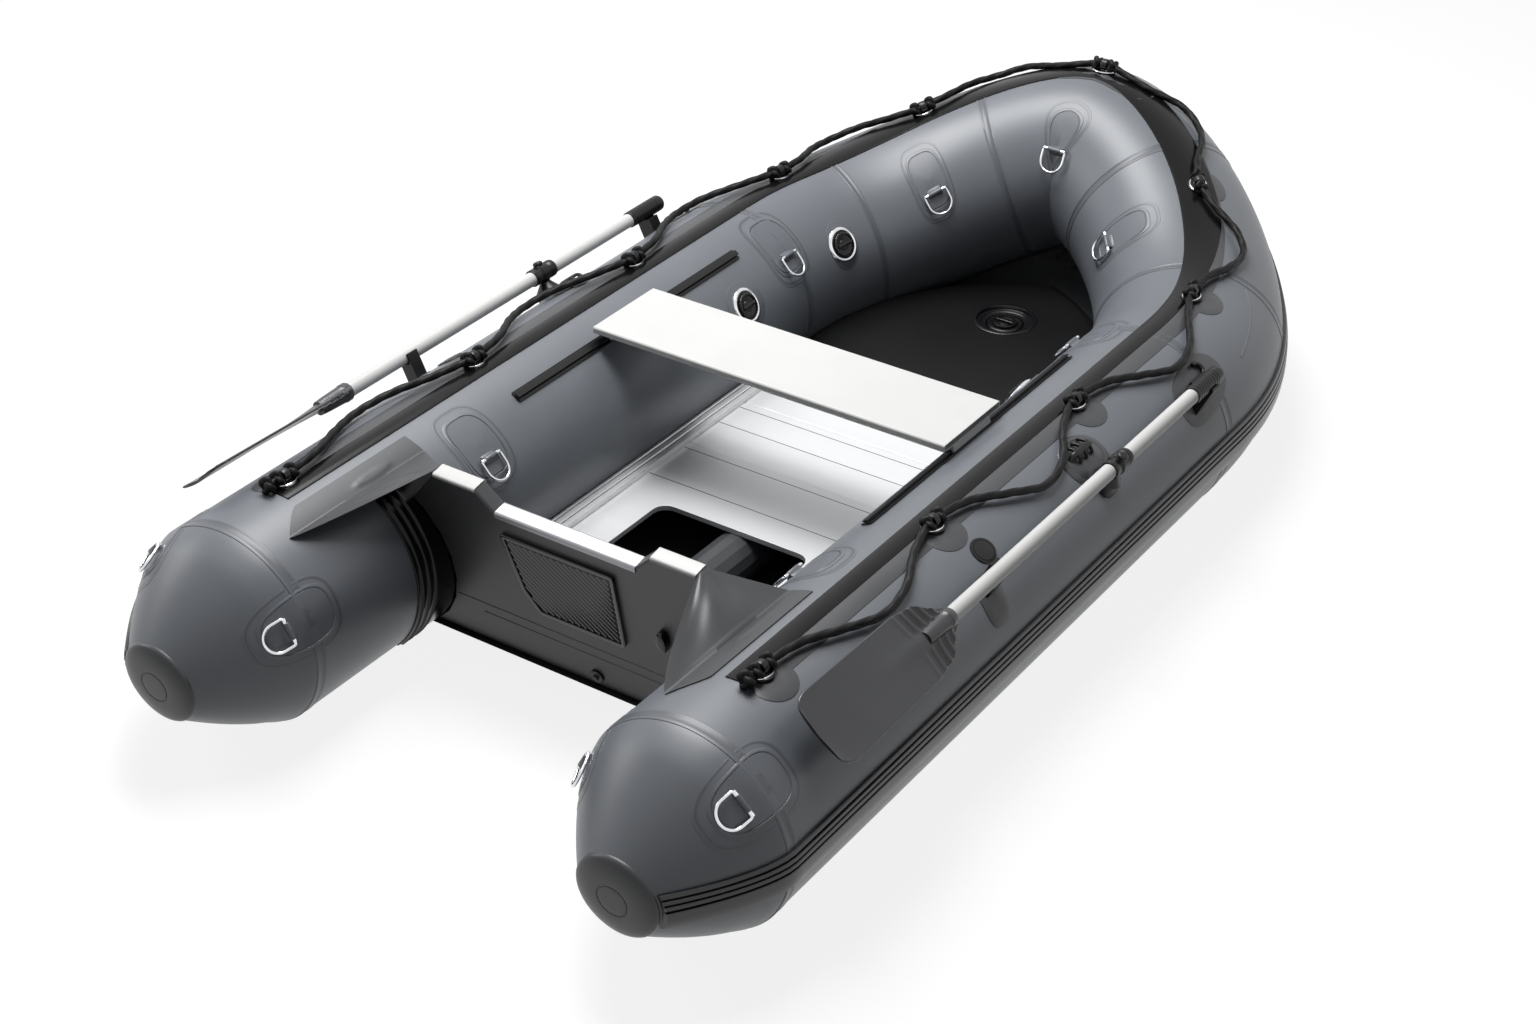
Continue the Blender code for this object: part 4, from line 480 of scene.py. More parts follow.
CHANNEL = finish("channel_metal", (0.42, 0.42, 0.45), 0.32, cloud=0.05, cloud_scale=12, grain=500,
                 bump=0.08, metallic=0.4, stretch=(0.05, 1, 1))
WHITE = finish("white_coat", (0.63, 0.63, 0.62), 0.42, cloud=0.02, cloud_scale=8, grain=600, bump=0.05,
               painted_groove_shade=(0.35, 0.35, 0.35))
print("finishes:", len(bpy.data.materials))

# %% [markdown]
# ## The lifeline
# The rope is a three-strand laid line. It runs straight through each eye on the shoulder of the
# tubes and swings down the side between two eyes. Its route is made of a few points, the same as in
# the solids, smoothed into one curve.

# %% The rope's route
EYELET_RUNS, EYELET_ANGLE = (0.40, 0.955, 1.495, 2.04, 2.50), 84
EYELET_LENGTH, EYELET_WALL, EYELET_SIDES, BAND_THICKNESS = 0.016, 0.0045, 10, 0.002
ROPE_DIAMETER, ROPE_TAIL, ROPE_CLEAR = 0.016, 0.03, 0.0045
SWAG_POINTS, SWAG_SKEW, SWAG_DROPS = 5, 1.12, (19, 24, 23, 22, 20)
CURVE_POINTS = 24
EYE_BORE = (ROPE_DIAMETER / 2 + FIT_GAP) / math.cos(math.pi / EYELET_SIDES)
EYE_HEIGHT = BAND_THICKNESS / 2 + EYELET_WALL + EYE_BORE


def rope_half(side):
    """Points of one side's rope, from the stern to the bow."""
    pass_half, lying = EYELET_LENGTH / 2 + ROPE_DIAMETER / 2, ROPE_DIAMETER / 2 + ROPE_CLEAR
    runs, points = list(EYELET_RUNS) + [BOW_RUN], []
    for number, run in enumerate(runs):
        eye = flat_frame(run, EYELET_ANGLE, side)
        if number == 0:
            points.append(eye @ Vector((-pass_half - ROPE_TAIL, 0, EYE_HEIGHT)))
        points.append(eye @ Vector((-pass_half, 0, EYE_HEIGHT)))
        if number == len(runs) - 1:
            return points
        points.append(eye @ Vector((pass_half, 0, EYE_HEIGHT)))
        free = runs[number + 1] - run - 2 * pass_half
        for share in (np.arange(SWAG_POINTS) + 1) / (SWAG_POINTS + 1):
            drop = math.sin(math.pi * share ** SWAG_SKEW) ** 2
            near = math.cos(math.pi * share) ** 8
            points.append(flat_point(run + pass_half + free * share, EYELET_ANGLE - SWAG_DROPS[number] * drop,
                                     lying + (EYE_HEIGHT - lying) * near, side))


ROPE_POINTS = [tuple(p) for p in rope_half(-1) + rope_half(1)[::-1]]
ROPE_LINE = eased(ROPE_POINTS, CURVE_POINTS)

# %% [markdown]
# ### Strands and knots
# The rope's section has three lobes that turn as they go along, which is what laying strands
# together does. The hollow between two lobes is painted dark: painted shade. Knots stop the rope at
# each eye and finish both ends.

# %% Laying three strands
LAY_PITCH, STRAND_ROOT, STRAND_LOBE, HOLLOW_SHADE = 0.045, 0.86, 0.18, 0.9
KNOT_SIZE, KNOT_WIRE, KNOT_SHIFT = 0.012, 0.0062, 0.019
END_SIZE, END_WIRE, END_SHIFT = 0.0125, 0.0066, 0.046


def laid_rope(line, diameter, pitch, sides=15):
    """Rings across the line whose radius rises three times a turn, each ring turned a little further."""
    lay = 2 * math.pi * along_line(line)[:, None] / pitch
    lobe = np.abs(np.cos(1.5 * (circle(sides)[None, :] - lay / 3)))
    # the values paint shade into the hollows between the strands
    return swept(line, diameter / 2 * (STRAND_ROOT + STRAND_LOBE * lobe), sides,
                 values=(1 - lobe) ** 2 * HOLLOW_SHADE)


rope = piece("lifeline", [laid_rope(ROPE_LINE, ROPE_DIAMETER, LAY_PITCH)], ROPE_YARN,
             stands_for="lifeline_rope", sharp=80)


def knot(name, eye, shift, size=KNOT_SIZE, thick=KNOT_WIRE):
    """A trefoil knot: x = sin t + 2 sin 2t, y = cos t - 2 cos 2t, z = -sin 3t, pulled flat."""
    place = eye @ Matrix.Translation((shift, 0, EYE_HEIGHT)) @ QUARTER_TURN
    t = circle(72)
    line = joined(np.sin(t) + 2 * np.sin(2 * t), np.cos(t) - 2 * np.cos(2 * t), -1.1 * np.sin(3 * t))
    wire = swept(moved(place, line * size / 3), thick * (1 + 0.08 * np.cos(9 * t)), sides=10, closed=True,
                 hint=np.array(place)[:3, 2])
    made = piece(name, [wire], ROPE_YARN, sharp=80)
    return made


for side, label in SIDES:
    for number, run in enumerate(EYELET_RUNS):
        eye = flat_frame(run, EYELET_ANGLE, side)
        for end, shift in (("aft", -KNOT_SHIFT), ("fore", KNOT_SHIFT)):
            knot(f"knot_{label}_{number}_{end}", eye, shift)
    tail = flat_frame(EYELET_RUNS[0], EYELET_ANGLE, side)
    knot(f"knot_{label}_end", tail, -END_SHIFT, END_SIZE, END_WIRE)
bow_eye = flat_frame(BOW_RUN, EYELET_ANGLE, 1)
for end, shift in (("port", KNOT_SHIFT), ("starboard", -KNOT_SHIFT)):
    knot(f"knot_bow_{end}", bow_eye, shift)

# %% [markdown]
# ## The three air chambers
# Both side tubes start as a swelling cone at the stern, and the bow tube closes the horseshoe. Each
# is the skin function itself, sampled more closely where it curves.

# %% Tubes
AROUND = np.degrees(circle(96))
CHAMBER_GAP = 0.0005
cone_runs = CONE_TIP + CONE_LENGTH * np.linspace(0, 1, 28) ** 1.3
side_runs = np.concatenate([cone_runs, np.linspace(0.235, CHAMBER_JOINT - CHAMBER_GAP, 34)])
for side, label in SIDES:
    piece("chamber_" + label, [shell(skin(side_runs[:, None], AROUND[None], 0, side))], SLATE,
          stands_for="tube_" + label)
bow_runs, bow_sides = both_sides(CHAMBER_JOINT + CHAMBER_GAP, 0.0125)
piece("chamber_bow", [shell(skin(bow_runs[:, None], AROUND[None], 0, bow_sides[:, None]))], SLATE,
      stands_for="tube_bow")
print("chambers:", 3)

# %% [markdown]
# ## Things glued on the tubes
# A patch is a rounded shape in the unrolled plane of run and arc, laid on the skin. It is drawn in
# rings from its rim inwards: each ring has a share of the full size and a height off the skin, so a
# pressed line near the rim is one lower ring. The outline is a superellipse, |x|^n + |y|^n = 1. A
# strip is a line in the same plane with a profile across it.

# %% Patches and strips
RIM, PATCH_LINE, STRIP_LINE = (1.0, -0.0009), 0.0003, 0.0004
PRESSED = (RIM, (0.99, 0.0009), (0.965, 0.0015), (0.90, 0.0015), (0.885, PATCH_LINE), (0.865, PATCH_LINE),
           (0.85, 0.0013), (0.5, 0.0011), (0.02, 0.0011))
HALO = (RIM, (0.99, 0.0005), (0.965, 0.0008), (0.93, PATCH_LINE), (0.91, PATCH_LINE), (0.89, 0.0006),
        (0.02, 0.0006))
PLAIN = (RIM, (0.985, 0.0012), (0.95, 0.0018), (0.5, 0.0018), (0.02, 0.0018))
TAPE = ((-1, -0.001), (-0.96, 0.0009), (-0.7, 0.0013), (-0.55, STRIP_LINE), (0.55, STRIP_LINE),
        (0.7, 0.0013), (0.96, 0.0009), (1, -0.001))
CORD_TAPE = ((-1, -0.0005), (-0.5, 0.0008), (0.5, 0.0008), (1, -0.0005))


def squared(wave, power):
    """A sine or cosine pulled towards the corners of a square."""
    return np.sign(wave) * np.abs(wave) ** power


def patch(run, degrees, size, side, rings=PRESSED, power=3.2, turn=0.0):
    """Rings of a superellipse of half sizes (along, round), turned in the unrolled plane."""
    share, height = np.asarray(rings).T
    phi = circle(72)
    x, y = squared(np.cos(phi), 2 / power) * size[0], squared(np.sin(phi), 2 / power) * size[1]
    c, s = math.cos(math.radians(turn)), math.sin(math.radians(turn))
    grid_run = run + share[:, None] * (c * x - s * y)[None]
    grid_deg = degrees + np.degrees(share[:, None] * (s * x + c * y)[None] / SKIN_RADIUS)
    past_bow = grid_run > BOW_RUN
    # the pressed line near the rim gets painted shade in its groove
    painted_groove_shade = np.where(np.abs(height - PATCH_LINE) < SAME_POINT, 0.7, 0.0)[:, None]
    return shell(skin(np.where(past_bow, 2 * BOW_RUN - grid_run, grid_run), grid_deg, height[:, None],
                      np.where(past_bow, -side, side)), values=painted_groove_shade)


def strip(run, degrees, width, side, profile=TAPE, closed=False):
    """Points across a line: each is moved sideways in the unrolled plane and lifted off the skin."""
    run, arc = np.asarray(run, float), np.radians(np.asarray(degrees, float)) * SKIN_RADIUS
    way = np.array([[0.0, 1.0]]) if closed else unit(joined(np.gradient(run), np.gradient(arc)))
    across, lift = np.asarray(profile, float).T
    grid_run = run[:, None] + way[:, 1:] * across[None] * width / 2
    grid_arc = arc[:, None] - way[:, :1] * across[None] * width / 2
    # the pressed lines get painted shade in their grooves
    painted_groove_shade = np.where(np.abs(lift - STRIP_LINE) < SAME_POINT, 0.35, 0.0)[None]
    return shell(skin(grid_run, np.degrees(grid_arc / SKIN_RADIUS), lift[None], side), close_rows=closed,
                 values=painted_groove_shade)


print("glued pieces ready")

# %% [markdown]
# ## Seams
# The tubes are glued from panels, so seam tapes run round them where cone, chamber and bow panels
# meet, and along their undersides. Each leaves two pressed lines.

# %% Seam tapes
RING_SEAMS = ((0.222, 0.026), (1.85, 0.030), (2.19, 0.026), (2.64, 0.024))
UNDER_ANGLE, UNDER_WIDTH, SLANT_WIDTH = 282.0, 0.032, 0.006
around = np.degrees(circle(120))
slant = np.linspace(0, 1, 40)
for side, label in SIDES:
    for number, (run, width) in enumerate(RING_SEAMS):
        piece(f"seam_{label}_{number}", [strip(np.full(len(around), run), around, width, side, closed=True)],
              SLATE_SEAM)
    slanting = strip(2.17 - 0.2 * slant ** 1.6, 58 - 18 * slant, SLANT_WIDTH, side, CORD_TAPE)
    piece(f"seam_{label}_slant", [slanting], SLATE_SEAM)
    for name, under in ((f"seam_{label}_under", np.linspace(0.24, 1.84, 60)),
                        (f"seam_bow_under_{label}", np.linspace(1.87, 2.62, 40))):
        piece(name, [strip(under, np.full(len(under), UNDER_ANGLE), UNDER_WIDTH, side)], SLATE_SEAM)
print("ring seams on each side:", len(RING_SEAMS))

# %% [markdown]
# ## Stern caps
# A moulded cap closes each cone. It is a turned shape: a rim that grips the cone's end, a shallow
# dome, and one ring line pressed into the middle.

# %% Stern caps
CAP = ((0.0790, -0.013), (0.0838, -0.0135), (0.0846, -0.0125), (0.0848, -0.001), (0.0840, 0.0026),
       (0.0815, 0.0056), (0.0750, 0.0090), (0.0640, 0.0122), (0.0500, 0.0144), (0.0345, 0.0155),
       (0.0325, 0.0154), (0.0316, 0.0142), (0.0300, 0.0142), (0.0291, 0.0156), (0.0270, 0.0158),
       (0.0150, 0.0160), (0.0, 0.0160))
centre, outboard, up, radius = (value[0] for value in section(np.array([CONE_TIP])))
for side, label in SIDES:
    mirror = np.array((side, 1, 1))
    axes = [Vector(mirror * way) for way in (outboard, up)]
    out = axes[0].cross(axes[1])
    out = -out if out.y > 0 else out
    stand = standing(mirror * centre - (0, HALF_LENGTH, 0), *axes, out)
    piece("tail_cap_" + label, [turned(CAP, stand, 96)], CHARCOAL, stands_for="stern_cap_" + label, sharp=30)
print("cap radius:", max(CAP)[0])

# %% [markdown]
# ## Rub rail
# The rail is one rubber moulding from cap to cap: three thin ribs above a wide one. Its profile is a
# list of distances across the tube in millimetres, heights off it, and how much painted shade each
# point gets. The grooves get the `depth` value, so that they go nearly black: painted shade in them.

# %% Rub rail
MM = 0.001
RAIL = ((37, -0.002, 0), (36.6, 0.0052, 0), (35, 0.0072, 0), (30, 0.0078, 0), (28.6, 0.0070, 0.2),
        (28, 0.0032, 1), (25.6, 0.0032, 1), (25, 0.0072, 0.2), (24, 0.0090, 0), (18.6, 0.0094, 0),
        (17.4, 0.0084, 0.2), (16.8, 0.0038, 1), (14.4, 0.0038, 1), (13.8, 0.0084, 0.2), (12.6, 0.0098, 0),
        (7.4, 0.0100, 0), (6.2, 0.0090, 0.2), (5.6, 0.0042, 1), (2.2, 0.0040, 1), (1.6, 0.0088, 0.2),
        (0.4, 0.0100, 0), (-12, 0.0104, 0), (-24, 0.0100, 0), (-33, 0.0084, 0), (-36.4, 0.0050, 0.2),
        (-37, -0.002, 0.5))
# third column: painted shade, near black in the grooves
across, lift, painted_shade = np.array(RAIL).T
run, side = both_sides(0.021, 0.018)
degrees = np.degrees(across[None] * MM / section(run)[3][:, None])
rail = shell(skin(run[:, None], degrees, lift[None], side[:, None]), values=painted_shade[None])
piece("rail", [rail], RUBBER, stands_for="rub_rail", sharp=30)
print("points across the rail:", len(RAIL))

# %% [markdown]
# ## Lifeline band
# Two strips of coated cloth run along the shoulder: a black one on the inside and a charcoal one
# that peeks out below it. The inner strip's black is partly the cloth's own colour and partly painted
# shade where the band lies in shadow. Both spread towards the bow.

# %% Band
SPREAD_START, SPREAD_SPAN = 2.05, 0.35
run, side = both_sides(0.36, 0.018)


def flat_band(low, high, height):
    """A thin strip between two angles, with soft edges."""
    share = np.array([0, 0.02, 0.06, 0.5, 0.94, 0.98, 1])
    lift = np.array([-0.001, height * 0.7, height, height, height, height * 0.7, -0.001])
    return shell(skin(run[:, None], np.atleast_2d(low + (high - low) * share), lift[None], side[:, None]))


forward_share = np.clip((run - SPREAD_START) / SPREAD_SPAN, 0, 1)[:, None]
piece("band_outer", [flat_band(75.2 - 3.5 * forward_share, 86.2, 0.0013)], CHARCOAL,
      stands_for="lifeline_band")
# inner strip: black cloth, partly painted shade where the band lies in shadow
piece("band_inner", [flat_band(85.2 - 12.5 * forward_share, 96.8 + 1.5 * forward_share, 0.0024)], BLACK_BAND)
print("runs along the band:", len(run))

# %% [markdown]
# ## The seam under the tubes
# The bottom cloth is glued to the tubes along their undersides. A tape covers that seam, wider at
# the bow, where a round patch closes the stem.

# %% Bottom seam
TAPE_START, TAPE_ANGLE, TAPE_CLIMB, TAPE_BEND, TAPE_SPREAD = 0.62, 233.5, 12.5, 2.2, 1.1
STEM_PLACE, STEM_TILT = (0, 1.094, 0.181), 38
run, side = both_sides(TAPE_START, 0.02)
seam = TAPE_ANGLE + TAPE_CLIMB * np.clip((run - CHAMBER_JOINT) / (BOW_RUN - CHAMBER_JOINT), 0, 1)
spread = 1 + TAPE_SPREAD * np.clip((run - TAPE_BEND) / (BOW_RUN - TAPE_BEND), 0, 1)[:, None]
across = np.array([-7, -6.6, -4, -1.5, 0, 1.5, 3, 4.5]) * spread
lift = np.array([-0.001, 0.0010, 0.0014, 0.0040, 0.0060, 0.0060, 0.0030, -0.001])
piece("bottom_seam_tape", [shell(skin(run[:, None], seam[:, None] + across, lift[None], side[:, None]))],
      CHARCOAL)
stem = Matrix.Translation(STEM_PLACE) @ Matrix.Rotation(math.radians(STEM_TILT), 4, "X")
stem_disc = ((0, -0.0030), (0.036, -0.0026), (0.038, 0), (0.036, 0.0026), (0, 0.0030))
piece("stem_patch", [turned(stem_disc, stem, 40)], CHARCOAL)
print("runs along the tape:", len(run))

# %% [markdown]
# ## Eyes and grommets
# The rope passes through moulded eyes. Each stands on a charcoal disc glued over the band, inside a
# bright metal grommet.

# %% Eyes
DISC = (RIM, (0.985, 0.0010), (0.95, 0.0014), (0.5, 0.0014), (0.02, 0.0014))
EYE_FOOT = ((0.024, 0.0008), (0.0235, 0.0030), (0.019, 0.0046), (0.008, 0.0062), (0.0, 0.0064))


def eye_loop(place):
    """A moulded eye: a ring of rounded section whose hole lets the rope through along local X."""
    turn = circle(40)
    x = np.array([-0.008, -0.0074, -0.005, 0.005, 0.0074, 0.008, 0.0074, 0, -0.0074])[:, None]
    reach = EYE_BORE + EYELET_WALL * np.array([0.45, 0.85, 1, 1, 0.85, 0.45, 0.05, 0.02, 0.05])[:, None]
    ring = joined(x, reach * np.cos(turn), EYE_HEIGHT + reach * np.sin(turn))
    return shell(moved(place, ring), close_rows=True)


def grommet(name, place, radius, wire, height):
    """A bright metal ring that lies on the band."""
    turn = circle(48)
    line = joined(radius * np.cos(turn), 0.8 * radius * np.sin(turn), height)
    ring = swept(moved(place, line), wire, 10, closed=True, squash=0.6, hint=np.array(place)[:3, 2])
    piece(name, [ring], STEEL)


for side, label in SIDES:
    for number, run in enumerate(EYELET_RUNS):
        stand = flat_frame(run, EYELET_ANGLE, side)
        piece(f"eye_{label}_{number}", [eye_loop(stand), turned(EYE_FOOT, stand, 40)], MOULDED)
        grommet(f"grommet_{label}_{number}", stand, 0.0225, 0.0021, 0.0042)
        disc = patch(run, EYELET_ANGLE - 7, (0.050, 0.044), side, DISC, power=2.0)
        piece(f"eye_disc_{label}_{number}", [disc], CHARCOAL)
stand = flat_frame(BOW_RUN, EYELET_ANGLE, 1)
piece("eye_bow", [eye_loop(stand)], MOULDED)
grommet("grommet_bow", stand, 0.030, 0.0026, 0.0040)
piece("eye_disc_bow", [patch(BOW_RUN, EYELET_ANGLE, (0.085, 0.060), 1, DISC, power=2.4)], CHARCOAL)
print("eyes:", 2 * len(EYELET_RUNS) + 1)

# %% [markdown]
# ## D-rings
# Each ring is one bent steel rod: a straight bar that turns in a loop of webbing, two legs and a
# round end. The rod is a circle carried along that outline, and it moves with its own body. The
# webbing is a keeper folded over the bar, on a rounded patch with a double pressed edge.

# %% D-rings
RING_WIRE, RING_WIDTH, RING_REACH, RING_LEAN, RING_BEND = 0.006, 0.055, 0.052, 4, 0.006
BAR_HEIGHT, FORE_LIFT, BOW_LIFT, KEEPER_LENGTH, KEEPER_SINK = 0.0068, 0.002, 0.0075, 0.034, 0.0012
RING_PLACES = {"aft": (0.775, 139.5, 0.0), "middle": (1.827, 138.5, 0.0), "fore": (2.43, 147.5, FORE_LIFT)}
CONE_PLACE, CONE_ANGLES = 0.18, {"inboard": 156, "outboard": 44.6}
KNOB, KNOB_IN = mirrored(((0.0, 0.0065), (0.0038, 0.0060), (0.0043, 0.004))), 0.0065
PATCH_LONG, PATCH_SHORT = 0.078, 0.056


def bar_frame(run, degrees, side, across, lift):
    """X along the ring's bar, Y the way the ring lies, Z off the tube."""
    flat = flat_frame(run, degrees, side).to_3x3()
    bow, off = flat.col[0], flat.col[2]
    reach = -bow if across else flat.col[1] * side
    spot = flat_point(run, degrees, side=side) + off * (BAR_HEIGHT + lift)
    return standing(spot, reach.cross(off), reach, off)


def ring_line():
    """Bar, rounded corners, legs and a half circle, as one closed line in the ring's plane."""
    half, arc, bend = RING_WIDTH / 2, RING_REACH - RING_WIDTH / 2, RING_BEND
    bar = joined(np.linspace(-half + bend, half - bend, 13), 0.0)
    turn = np.radians(np.linspace(-90, 0, 7)[1:])
    corner = joined(half - bend + bend * np.cos(turn), bend + bend * np.sin(turn))
    turn = np.radians(np.linspace(0, 180, 33))
    end = joined(half * np.cos(turn), arc + half * np.sin(turn))
    line = np.concatenate([bar, corner, end, (corner * (-1, 1))[::-1][:-1]])
    return np.concatenate([line, np.zeros((len(line), 1))], 1)


def keeper(stand, lift):
    """Webbing folded over the bar: an arch in the plane across the bar, spread at its feet."""
    foot = -(BAR_HEIGHT + lift + KEEPER_SINK)
    turn = np.radians(np.linspace(0, 180, 13))
    arch_y = np.concatenate([[0.0115, 0.0085, 0.0060], 0.0054 * np.cos(turn), [-0.0060, -0.0085, -0.0115]])
    rise = [foot, foot + 0.0022, -0.0034]
    arch_z = np.concatenate([rise, 0.0053 * np.sin(turn), rise[::-1]])
    x = KEEPER_LENGTH / 2 * np.array([-1, -0.985, -0.94, 0, 0.94, 0.985, 1])[:, None]
    slim = np.array([0.86, 0.95, 1, 1, 1, 0.95, 0.86])[:, None]
    return shell(moved(stand, joined(x, arch_y * slim, foot + (arch_z - foot) * slim)))


def hang_ring(name, run, degrees, side, across, lift, shift):
    """One ring with its webbing and its patch, which is shifted along the run and round the tube."""
    stand = bar_frame(run, degrees, side, across, lift)
    lean = stand @ Matrix.Rotation(-math.radians(RING_LEAN), 4, "X")
    grids = [swept(moved(lean, ring_line()), RING_WIRE / 2, closed=True, hint=np.array(lean)[:3, 2])]
    for end in (-1, 1):
        bar_end = Matrix.Translation((end * (RING_WIDTH / 2 - KNOB_IN), 0, 0))
        grids.append(turned(KNOB, lean @ bar_end @ QUARTER_TURN, 20))
    ring = piece(name + "_rod", grids, STEEL, body=name + "_body", stands_for=name)
    piece(name + "_webbing", [keeper(stand, lift)], SLATE_SEAM)
    along, round_by = shift
    size = (PATCH_LONG, PATCH_SHORT) if across else (PATCH_SHORT, PATCH_LONG)
    halo = (size[0] * 1.22, size[1] * 1.30)
    piece(name + "_patch", [patch(run + along, degrees + round_by, size, side),
                            patch(run + along * 0.8, degrees + round_by, halo, side, HALO)], SLATE_SEAM)


for side, label in SIDES:
    for spot, (run, degrees, lift) in RING_PLACES.items():
        hang_ring(f"d_ring_{spot}_{label}", run, degrees, side, False, lift, (0.0, -9))
    for spot, degrees in CONE_ANGLES.items():
        hang_ring(f"d_ring_cone_{spot}_{label}", CONE_PLACE, degrees, side, True, 0.0, (0.028, 0))
hang_ring("d_ring_bow", BOW_RUN, 156, 1, False, BOW_LIFT, (0.0, -8))
print("rings hung:", 2 * (len(RING_PLACES) + len(CONE_ANGLES)) + 1)

# %% [markdown]
# ## Valves
# A polished ring surrounds a deep black well with a screw cap in it. The ring is a turned profile
# with a rolled lip. The cap turns with its own body, so its finger grip is part of it.

# %% Valves
FLANGE, CAP_RADIUS, CAP_SEAT, BARREL = 0.041, 0.029, 0.0039, 0.024
KNURLS, KNURL_DEPTH, GRIP_FOOT = 24, 0.018, 0.0012
CAP_PROFILE = ((0.0, -0.0075, 0), (0.0192, -0.0075, 0), (0.0192, 0, 0), (CAP_RADIUS * 0.985, 0, 1),
               (CAP_RADIUS, 0.0008, 1), (CAP_RADIUS, 0.0034, 1), (CAP_RADIUS * 0.96, 0.0045, 0.6),
               (CAP_RADIUS * 0.84, 0.0050, 0), (CAP_RADIUS * 0.80, 0.0018, 0), (CAP_RADIUS * 0.45, 0.0010, 0),
               (CAP_RADIUS * 0.40, 0.0030, 0), (0.0, 0.0034, 0))
GRIP = ((0.0225, 0.0018, 0.0060), (0.0215, 0.0036, 0.0076), (0.016, 0.0044, 0.0086), (0.0, 0.0050, 0.0090))


def dress_valve(label, stand, low, look=STEEL):
    """Ring, well and cap of one valve on its frame."""
    ring = ((0.0302, low), (FLANGE, low), (FLANGE + 0.0004, 0.0008), (FLANGE - 0.0010, 0.0028),
            (FLANGE - 0.0042, 0.0043), (FLANGE - 0.0075, 0.0040), (0.0315, 0.0030), (0.0302, 0.0014))
    piece(f"valve_ring_{label}", [turned(ring, stand, 72)], look, stands_for=f"valve_body_{label}")
    well = ((0.0230, -0.024), (BARREL, -0.024), (BARREL, low), (0.0316, low + 0.0004), (0.0312, 0.0022),
            (0.0300, 0.0026), (0.0215, 0.0016), (0.0206, -0.004), (0.0, -0.004))
    piece(f"valve_well_{label}", [turned(well, stand)], PLASTIC)
    turn = circle(96)
    knurl = KNURL_DEPTH * (np.cos(KNURLS * turn) - 1)
    radius, height, edge = np.array(CAP_PROFILE).T[..., None]
    reach = radius * (1 + edge * knurl)
    lid = joined(reach * np.cos(turn), reach * np.sin(turn), CAP_SEAT + height)
    x, wide, tall = np.array([(-x, w, t) for x, w, t in GRIP[:3]] + list(GRIP[::-1])).T[..., None]
    turn = circle(20)
    flat, upright = squared(np.cos(turn), 0.6), squared(np.sin(turn), 0.6)
    grip = joined(x, wide * flat, CAP_SEAT + GRIP_FOOT + (tall - GRIP_FOOT) * (upright + 1) / 2)
    made = piece(f"valve_lid_{label}", [shell(moved(stand, lid), cap=False), shell(moved(stand, grip))],
                 PLASTIC, body=f"valve_cap_{label}_body", stands_for=f"valve_cap_{label}", sharp=35)


TUBE_VALVES = (("port", 1.633, -1), ("starboard", 1.633, 1), ("bow", 2.042, -1))
VALVE_ANGLE, VALVE_SINK, VALVE_PATCH = 150, -0.003, (0.060, 0.060)
KEEL_VALVE, FLOOR_BOTTOM, KEEL_SINK = 2.19, 0.126, 0.0003
for label, run, side in TUBE_VALVES:
    dress_valve(label, flat_frame(run, VALVE_ANGLE, side), VALVE_SINK)
    piece("valve_patch_" + label, [patch(run, VALVE_ANGLE, VALVE_PATCH, side, PLAIN, power=2)], SLATE_SEAM)
keel_stand = Matrix.Translation((0, KEEL_VALVE - HALF_LENGTH, FLOOR_BOTTOM - FIT_GAP))
dress_valve("keel", keel_stand, KEEL_SINK, MOULDED)
print("valves:", len(TUBE_VALVES) + 1)

# %% [markdown]
# ## Boards and plates with eased edges
# No real edge is perfectly sharp. A board, plank or moulded block whose shape is already right is
# copied from its solid, its loose triangles are merged, flat faces are joined again, and every sharp
# edge gets a small round. That round is what catches the light along the edges.

# %% Easing the edges of a solid
LOOSE, FLAT_ANGLE, SHARP_ANGLE = 1e-5, 1.5, 40


def softened(name, node, look, width, body="hull", angle=28):
    """The node's own shape with each edge sharper than the angle rounded to the given width."""
    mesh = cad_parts[node].data.copy()
    mesh.name = name
    edit = bmesh.new()
    edit.from_mesh(mesh)
    bmesh.ops.remove_doubles(edit, verts=edit.verts, dist=LOOSE)
    bmesh.ops.dissolve_limit(edit, angle_limit=math.radians(FLAT_ANGLE), verts=edit.verts, edges=edit.edges)
    sharp = [e for e in edit.edges if len(e.link_faces) == 2 and e.calc_face_angle(0) > math.radians(angle)]
    if width > 0:
        bmesh.ops.bevel(edit, geom=sharp, offset=width, offset_type="OFFSET", segments=2, profile=0.5,
                        affect="EDGES", clamp_overlap=True)
    bmesh.ops.recalc_face_normals(edit, faces=edit.faces)
    edit.to_mesh(mesh)
    edit.free()
    mesh.shade_smooth()
    mesh.set_sharp_from_angle(angle=math.radians(SHARP_ANGLE))
    mesh.materials.clear()
    mesh.materials.append(look)
    made = shown(name, mesh)
    made.modifiers.new("flat_faces", "WEIGHTED_NORMAL").keep_sharp = True
    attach(made, body)
    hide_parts(node)
    return made


softened("board", "transom_board", BOARD_CLOTH, 0.003)
softened("bow_plate", "bow_board", BOARD, 0.003)
softened("plank", "seat_bench", WHITE, 0.0012, body="seat")
for panel in ("aft", "middle", "forward"):
    softened("deck_" + panel, "floor_panel_" + panel, ALUMINIUM, 0.0009)
for side, label in SIDES:
    softened("side_rail_" + label, "stringer_" + label, ALUMINIUM, 0.0006)
    softened("slide_rail_" + label, "seat_track_" + label, MOULDED, 0.0006)
softened("hull_bottom", "bottom_skin", BOTTOM, 0)
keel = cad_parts["keel_tube"].data
keel.materials.clear()
keel.materials.append(CHARCOAL)
print("eased boards:", 10)
